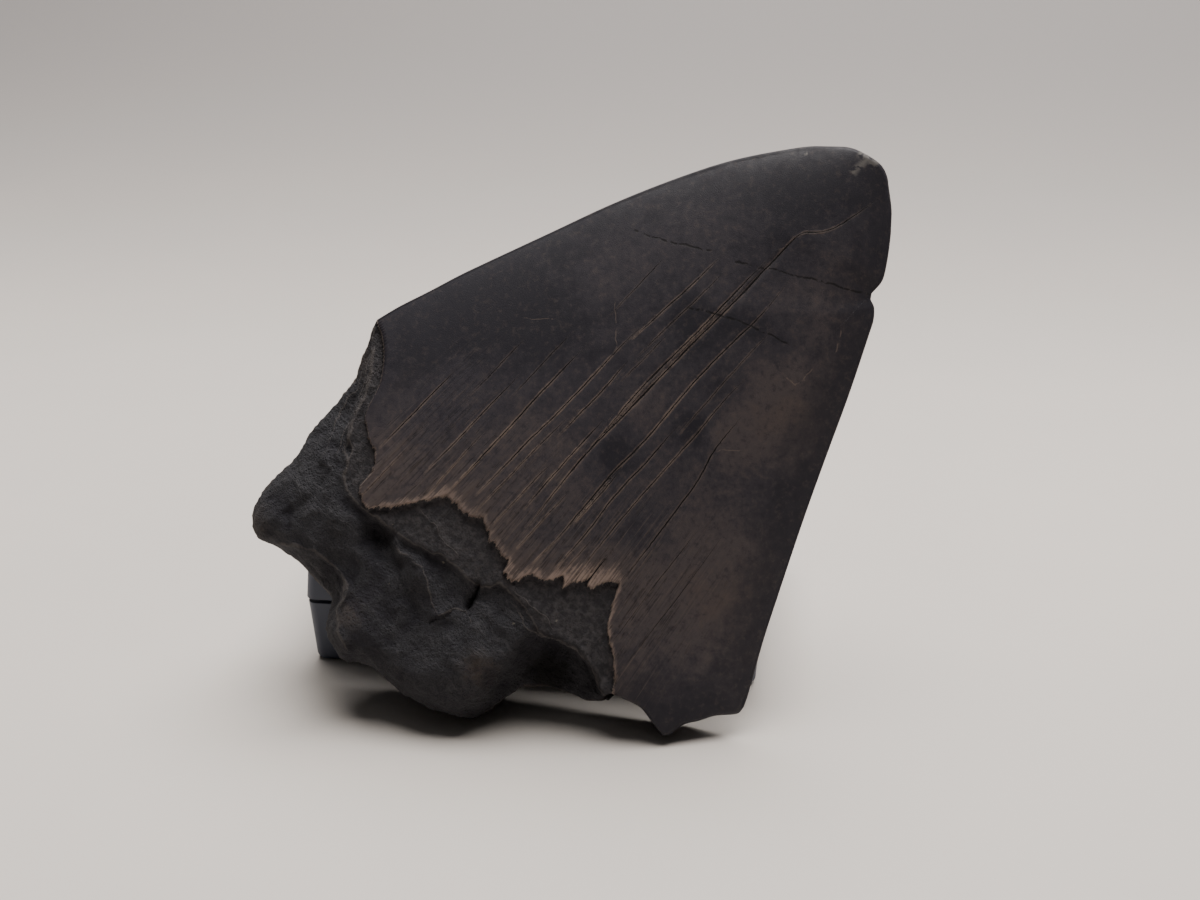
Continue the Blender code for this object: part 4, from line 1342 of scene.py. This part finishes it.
    def height(self, graph: Graph, part: dict[str, object]) -> object:
        """The bump's height in millimetres."""
        streaks = graph.plus(graph.centred(part["coarse"], 0.22), graph.centred(part["fine"], 0.16))
        streaks = graph.times(streaks, part["streaked"])
        lines = graph.math("MAXIMUM", graph.times(part["cuts"], 0.03), graph.times(part["thread"], 0.05))
        lines = graph.math("MAXIMUM", lines, graph.times(part["groove"], self.groove_height))
        enamel = graph.math("SUBTRACT", streaks, lines)
        enamel = graph.plus(enamel, graph.times(part["fine_grain"], 0.05))
        enamel = graph.plus(enamel, graph.times(part["lips"], self.lip_height))
        fibrous = graph.plus(graph.times(part["fine"], 0.12), graph.times(part["grain"], 0.25))
        stony = graph.times(part["grain"], self.stone_height)
        stony = graph.plus(stony, graph.times(part["root_fibre"], self.fibre_height))
        stony = graph.plus(stony, graph.times(part["fine_grain"], 0.16))
        both = graph.mixed(graph.times(part["ledge"], 0.7), stony, fibrous)
        both = graph.plus(both, graph.times(part["cloud"], self.cloud_height))
        both = graph.plus(both, graph.times(part["ridge_line"], 0.12))
        return graph.mixed(part["on_enamel"], both, enamel)

    def enamel_colour(self, graph: Graph, part: dict[str, object]) -> object:
        """Enamel: cool and warm patches, stains, streaks, cracks and a tan torn margin, with painted shade
        and light among the stains, painted shade towards the outline and one painted glint.
        """
        # The stain mask also carries painted shade and painted light, so these blends paint them too
        stain_and_painted_light = graph.plus(part["stain_and_painted_light"], graph.centred(part["cloud"], 0.35))
        stain_and_painted_light = graph.plus(stain_and_painted_light, graph.centred(part["mist"], 0.55))
        colour = graph.blend(graph.between(stain_and_painted_light, 0.38, 0.80), self.enamel_cool, self.enamel_warm)
        colour = graph.blend(graph.between(stain_and_painted_light, 0.80, 1.1, 0.0, 0.3), colour, self.enamel_rust)
        colour = graph.blend(graph.between(stain_and_painted_light, 0.45, 0.12), colour, self.dark_tone_and_shade)
        # Painted shade: the enamel darkens within 13 mm of the outline
        edge = graph.plus(part["inside"], graph.centred(part["mist"], 12.0))
        colour = graph.blend(graph.between(edge, 13.0, 1.0, 0.0, 0.9), colour, self.dark_tone_and_shade)
        near = graph.times(graph.between(part["from_margin"], 15.0, 0.0), part["torn"])
        band = graph.times(graph.times(near, near), graph.between(part["coarse"], 0.3, 0.7, 0.3, 1.0))
        colour = graph.blend(graph.times(band, 0.7), colour, self.margin_band)
        pale_streak = graph.times(graph.between(part["fine"], 0.56, 0.70), part["streaked"])
        colour = graph.blend(graph.times(pale_streak, 0.65), colour, self.margin_band)
        dark_streak = graph.times(graph.between(part["fine"], 0.44, 0.30), part["streaked"])
        colour = graph.blend(graph.times(dark_streak, 0.75), colour, self.dark_tone_and_shade)
        colour = graph.blend(graph.between(part["cloud"], 0.50, 0.72, 0.0, 0.22), colour, self.margin_band)
        colour = graph.blend(graph.between(part["cloud"], 0.50, 0.30, 0.0, 0.5), colour, self.dark_tone_and_shade)
        way = graph.math("DIVIDE", part["from_margin"], part["tan_reach"])
        way = graph.plus(way, graph.centred(part["fine"], 2.6))
        way = graph.plus(way, graph.centred(part["cloud"], 1.6))
        frayed = graph.times(graph.between(way, 1.0, 0.0), part["tan"])
        colour = graph.blend(graph.times(frayed, 0.8), colour, self.margin_tan)
        rim = graph.between(part["from_margin"], 0.40, 0.05)
        rim = graph.times(rim, graph.between(part["cloud"], 0.42, 0.58))
        rim = graph.times(rim, graph.between(part["tan"], 0.0, 1.0, 0.3, 0.7))
        colour = graph.blend(rim, colour, self.rim)
        colour = graph.blend(graph.times(part["lips"], self.lip_share), colour, self.lip)
        colour = graph.blend(graph.times(part["thread"], self.thread_share), colour, self.groove_brown_and_shade)
        colour = graph.blend(graph.times(part["cuts"], self.cut_share), colour, self.groove_brown_and_shade)
        colour = graph.blend(graph.times(part["scuffs"], self.scuff_share), colour, self.lip)
        # Chips at the tip, and one painted glint
        colour = graph.blend(graph.times(part["chips_and_glint"], self.chip_and_glint_share), colour, self.chip_and_glint)
        colour = graph.blend(part["groove"], colour, self.groove_brown_and_shade)
        return graph.blend(graph.times(part["dots"], self.dot_share), colour, self.lip)

    def root_colour(self, graph: Graph, part: dict[str, object]) -> object:
        """Root: dark stone, pale with painted highlight on what stands out, warm in patches and darkened with
        painted shade where it is sunk.
        """
        stain_and_painted_light = graph.plus(part["stain_and_painted_light"], graph.centred(part["cloud"], 0.5))
        colour = graph.blend(graph.between(stain_and_painted_light, 0.55, 0.95), self.root, self.root_warm)
        # Painted highlight: paler where the relief stands out, along the fibres
        high = graph.between(part["relief"], 0.40, 0.80)
        high = graph.times(high, graph.between(part["root_fibre"], 0.45, 0.65))
        colour = graph.blend(graph.times(high, 0.55), colour, self.root_pale_and_highlight)
        colour = graph.blend(graph.between(part["root_fibre"], 0.56, 0.70, 0.0, 0.35), colour, self.root_pale_and_highlight)
        furrow = graph.between(part["root_fibre"], 0.44, 0.32, 0.0, 0.6)
        colour = graph.blend(furrow, colour, self.dark_tone_and_shade)
        colour = graph.blend(graph.between(part["fine_grain"], 0.42, 0.62, 0.0, 0.45), colour, self.root_pale_and_highlight)
        colour = graph.blend(graph.between(part["grain"], 0.40, 0.22, 0.0, 0.7), colour, self.dark_tone_and_shade)
        # Painted shade: darker where the relief is sunk
        colour = graph.blend(graph.between(part["relief"], 0.45, 0.10, 0.0, 0.6), colour, self.dark_tone_and_shade)
        # Dark where the stain mask is low: random dark patches, and painted shade in the pit and the recess
        colour = graph.blend(graph.between(stain_and_painted_light, 0.40, 0.10, 0.0, 0.9), colour, self.groove_brown_and_shade)
        # The broken rim: partly its own paler colour, partly a painted highlight where it turns to the light
        edge = graph.plus(part["inside"], graph.centred(part["cloud"], 2.0))
        colour = graph.blend(graph.between(edge, 0.6, 0.0, 0.0, 0.45), colour, self.root_rim_and_highlight)
        # Crest line on the root: pale broken edge, partly painted highlight
        return graph.blend(graph.times(part["ridge_line"], self.crest_and_highlight_share), colour, self.crest_and_highlight)


@dataclass(frozen=True)
class PlasticFinish:
    """Dark slate plastic: moulded with a fine grain, faintly clouded and a little dusty."""

    body: Color = (0.0470, 0.0570, 0.0880, 1.0)
    clouded: Color = (0.0800, 0.0920, 0.1300, 1.0)
    dust: Color = (0.1500, 0.1450, 0.1380, 1.0)
    cloud_share: float = 0.04
    dust_share: float = 0.4
    roughness: Point2 = (0.475, 0.49)
    grain_height: float = 0.035

    def material(self, effects: Effects) -> bpy.types.Material:
        """Build the material."""
        made = bpy.data.materials.new("slate_plastic")
        made.use_nodes = True
        graph = Graph(made.node_tree)
        surface = made.node_tree.nodes["Principled BSDF"]
        place = graph.millimetres()
        grain = graph.effect(effects.grain, {"Place": place, "Scale": 2.4, "Pits": 0.4})
        cloud = graph.effect(effects.mottle, {"Place": place, "Scale": 0.08, "Contrast": 0.2})
        specks = graph.effect(effects.speckle, {"Place": place, "Scale": 0.4, "Share": 0.12, "Size": 0.18})
        colour = graph.blend(graph.times(cloud, self.cloud_share), self.body, self.clouded)
        colour = graph.blend(graph.times(specks, self.dust_share), colour, self.dust)
        graph.tree.links.new(colour, surface.inputs["Base Color"])
        rough = graph.between(cloud, 0.0, 1.0, *self.roughness)
        graph.tree.links.new(rough, surface.inputs["Roughness"])
        height = graph.times(grain, self.grain_height)
        graph.tree.links.new(graph.bump(height), surface.inputs["Normal"])
        return made


@dataclass(frozen=True)
class FloorFinish:
    """A plain pale matte surface with faint clouds, and painted shade that darkens it far behind the tooth.
    """

    pale: Color = (0.645, 0.600, 0.560, 1.0)
    clouded: Color = (0.615, 0.575, 0.540, 1.0)
    # Painted shade of the far floor and wall
    painted_far_shade: Color = (0.270, 0.254, 0.250, 1.0)
    far_shade_from: float = 50.0
    far_shade_to: float = 720.0
    roughness: float = 0.6
    specular: float = 0.3

    def material(self, effects: Effects) -> bpy.types.Material:
        """Build the material."""
        made = bpy.data.materials.new("pale_floor")
        made.use_nodes = True
        graph = Graph(made.node_tree)
        surface = made.node_tree.nodes["Principled BSDF"]
        place = graph.millimetres()
        cloud = graph.effect(effects.mottle, {"Place": place, "Scale": 0.008, "Contrast": 0.25})
        back = graph.add("ShaderNodeSeparateXYZ", {0: place}).outputs[1]
        # Painted shade: darker from 50 mm to 720 mm behind the tooth
        far = graph.between(back, self.far_shade_from, self.far_shade_to)
        colour = graph.blend(far, graph.blend(cloud, self.pale, self.clouded), self.painted_far_shade)
        graph.tree.links.new(colour, surface.inputs["Base Color"])
        surface.inputs["Roughness"].default_value = self.roughness
        surface.inputs["Specular IOR Level"].default_value = self.specular
        return made


@dataclass(frozen=True)
class Lamp:
    """A round soft light, in metres and watts."""

    name: str
    at: Point3
    size: float
    watts: float
    tint: Point3


@dataclass
class Studio:
    """The pale floor that sweeps up behind, soft lights and the camera; lengths in metres."""

    half_width: float = 6.0
    front: float = -7.0
    bend_from: float = 0.32
    bend_radius: float = 0.9
    wall_top: float = 2.6
    flat_steps: int = 11
    bend_steps: int = 33
    side_steps: int = 9
    camera_at: Point3 = (0.05008, -0.33829, 0.172)
    camera_down: float = 20.0
    camera_left: float = 7.5
    lens: float = 48.0
    sensor: float = 36.0
    nearest: float = 0.01
    main_light: Lamp = Lamp("main_light", (0.12, 0.30, 1.28), 1.45, 47.5, (1.0, 0.965, 0.925))
    fill_light: Lamp = Lamp("fill_light", (-0.3, -0.9, 2.0), 1.2, 1.0, (1.0, 0.98, 0.97))
    aim: Point3 = (0.0, 0.0, 0.05)
    world_tint: Color = (1.0, 0.99, 0.98, 1.0)
    world_grey: float = 0.04

    def floor(self, finish: bpy.types.Material) -> bpy.types.Object:
        """A sheet: flat, then a quarter circle, then upright, drawn out sideways."""
        turn = np.linspace(0.0, math.pi / 2.0, self.bend_steps)
        flat = np.linspace(self.front, self.bend_from, self.flat_steps + 1)[:-1]
        back = np.concatenate([flat, self.bend_from + self.bend_radius * np.sin(turn)])
        rise = np.concatenate([np.zeros_like(flat), self.bend_radius * (1.0 - np.cos(turn))])
        back, rise = np.append(back, back[-1]), np.append(rise, self.wall_top)
        side = np.linspace(-self.half_width, self.half_width, self.side_steps)
        grid = np.stack(np.broadcast_arrays(side[:, None], back[None], rise[None]), axis=-1)
        index = np.arange(grid.shape[0] * grid.shape[1]).reshape(grid.shape[:2])
        faces = np.stack([index[:-1, :-1], index[1:, :-1], index[1:, 1:], index[:-1, 1:]], axis=-1)
        obj = make_mesh("floor", grid.reshape(-1, 3) / MM, faces.reshape(-1, 4).tolist())
        obj.data.materials.append(finish)
        return obj

    def hang(self, lamp: Lamp) -> None:
        """Put up one light, facing the tooth."""
        light = bpy.data.lights.new(lamp.name, "AREA")
        light.shape = "DISK"
        light.size = lamp.size
        light.energy = lamp.watts
        light.color = lamp.tint
        obj = bpy.data.objects.new(lamp.name, light)
        obj.location = lamp.at
        obj.rotation_euler = (Vector(self.aim) - Vector(lamp.at)).to_track_quat("-Z", "Y").to_euler()
        bpy.context.scene.collection.objects.link(obj)

    def lights(self) -> None:
        """A big soft light above and a little behind, and a weak one in front."""
        self.hang(self.main_light)
        self.hang(self.fill_light)
        world = bpy.data.worlds.new("room")
        world.use_nodes = True
        sky = world.node_tree.nodes["Background"]
        sky.inputs["Color"].default_value = self.world_tint
        sky.inputs["Strength"].default_value = self.world_grey
        bpy.context.scene.world = world

    def camera(self) -> None:
        """The photograph's viewing angle."""
        lens = bpy.data.cameras.new("camera")
        lens.lens = self.lens
        lens.sensor_width = self.sensor
        lens.clip_start = self.nearest
        camera = bpy.data.objects.new("camera", lens)
        camera.location = self.camera_at
        camera.rotation_euler = (math.radians(90.0 - self.camera_down), 0.0, math.radians(self.camera_left))
        bpy.context.scene.collection.objects.link(camera)
        bpy.context.scene.camera = camera


def main() -> None:
    """Build the tooth, its stand and the studio."""
    logging.basicConfig(level=logging.INFO, format="%(message)s")
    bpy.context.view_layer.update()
    effects = Effects()
    studio = Studio()
    studio.camera()
    studio.lights()
    studio.floor(FloorFinish().material(effects))
    tooth = Tooth().build()
    tooth.data.materials.append(ToothFinish().material(effects))
    LOG.info("%s: %d faces", tooth.name, len(tooth.data.polygons))
    plastic = PlasticFinish().material(effects)
    case = Case()
    for half in Half:
        shell = case.build(half)
        shell.data.materials.append(plastic)
        LOG.info("%s: %d faces", shell.name, len(shell.data.polygons))


if __name__ == "__main__":
    main()
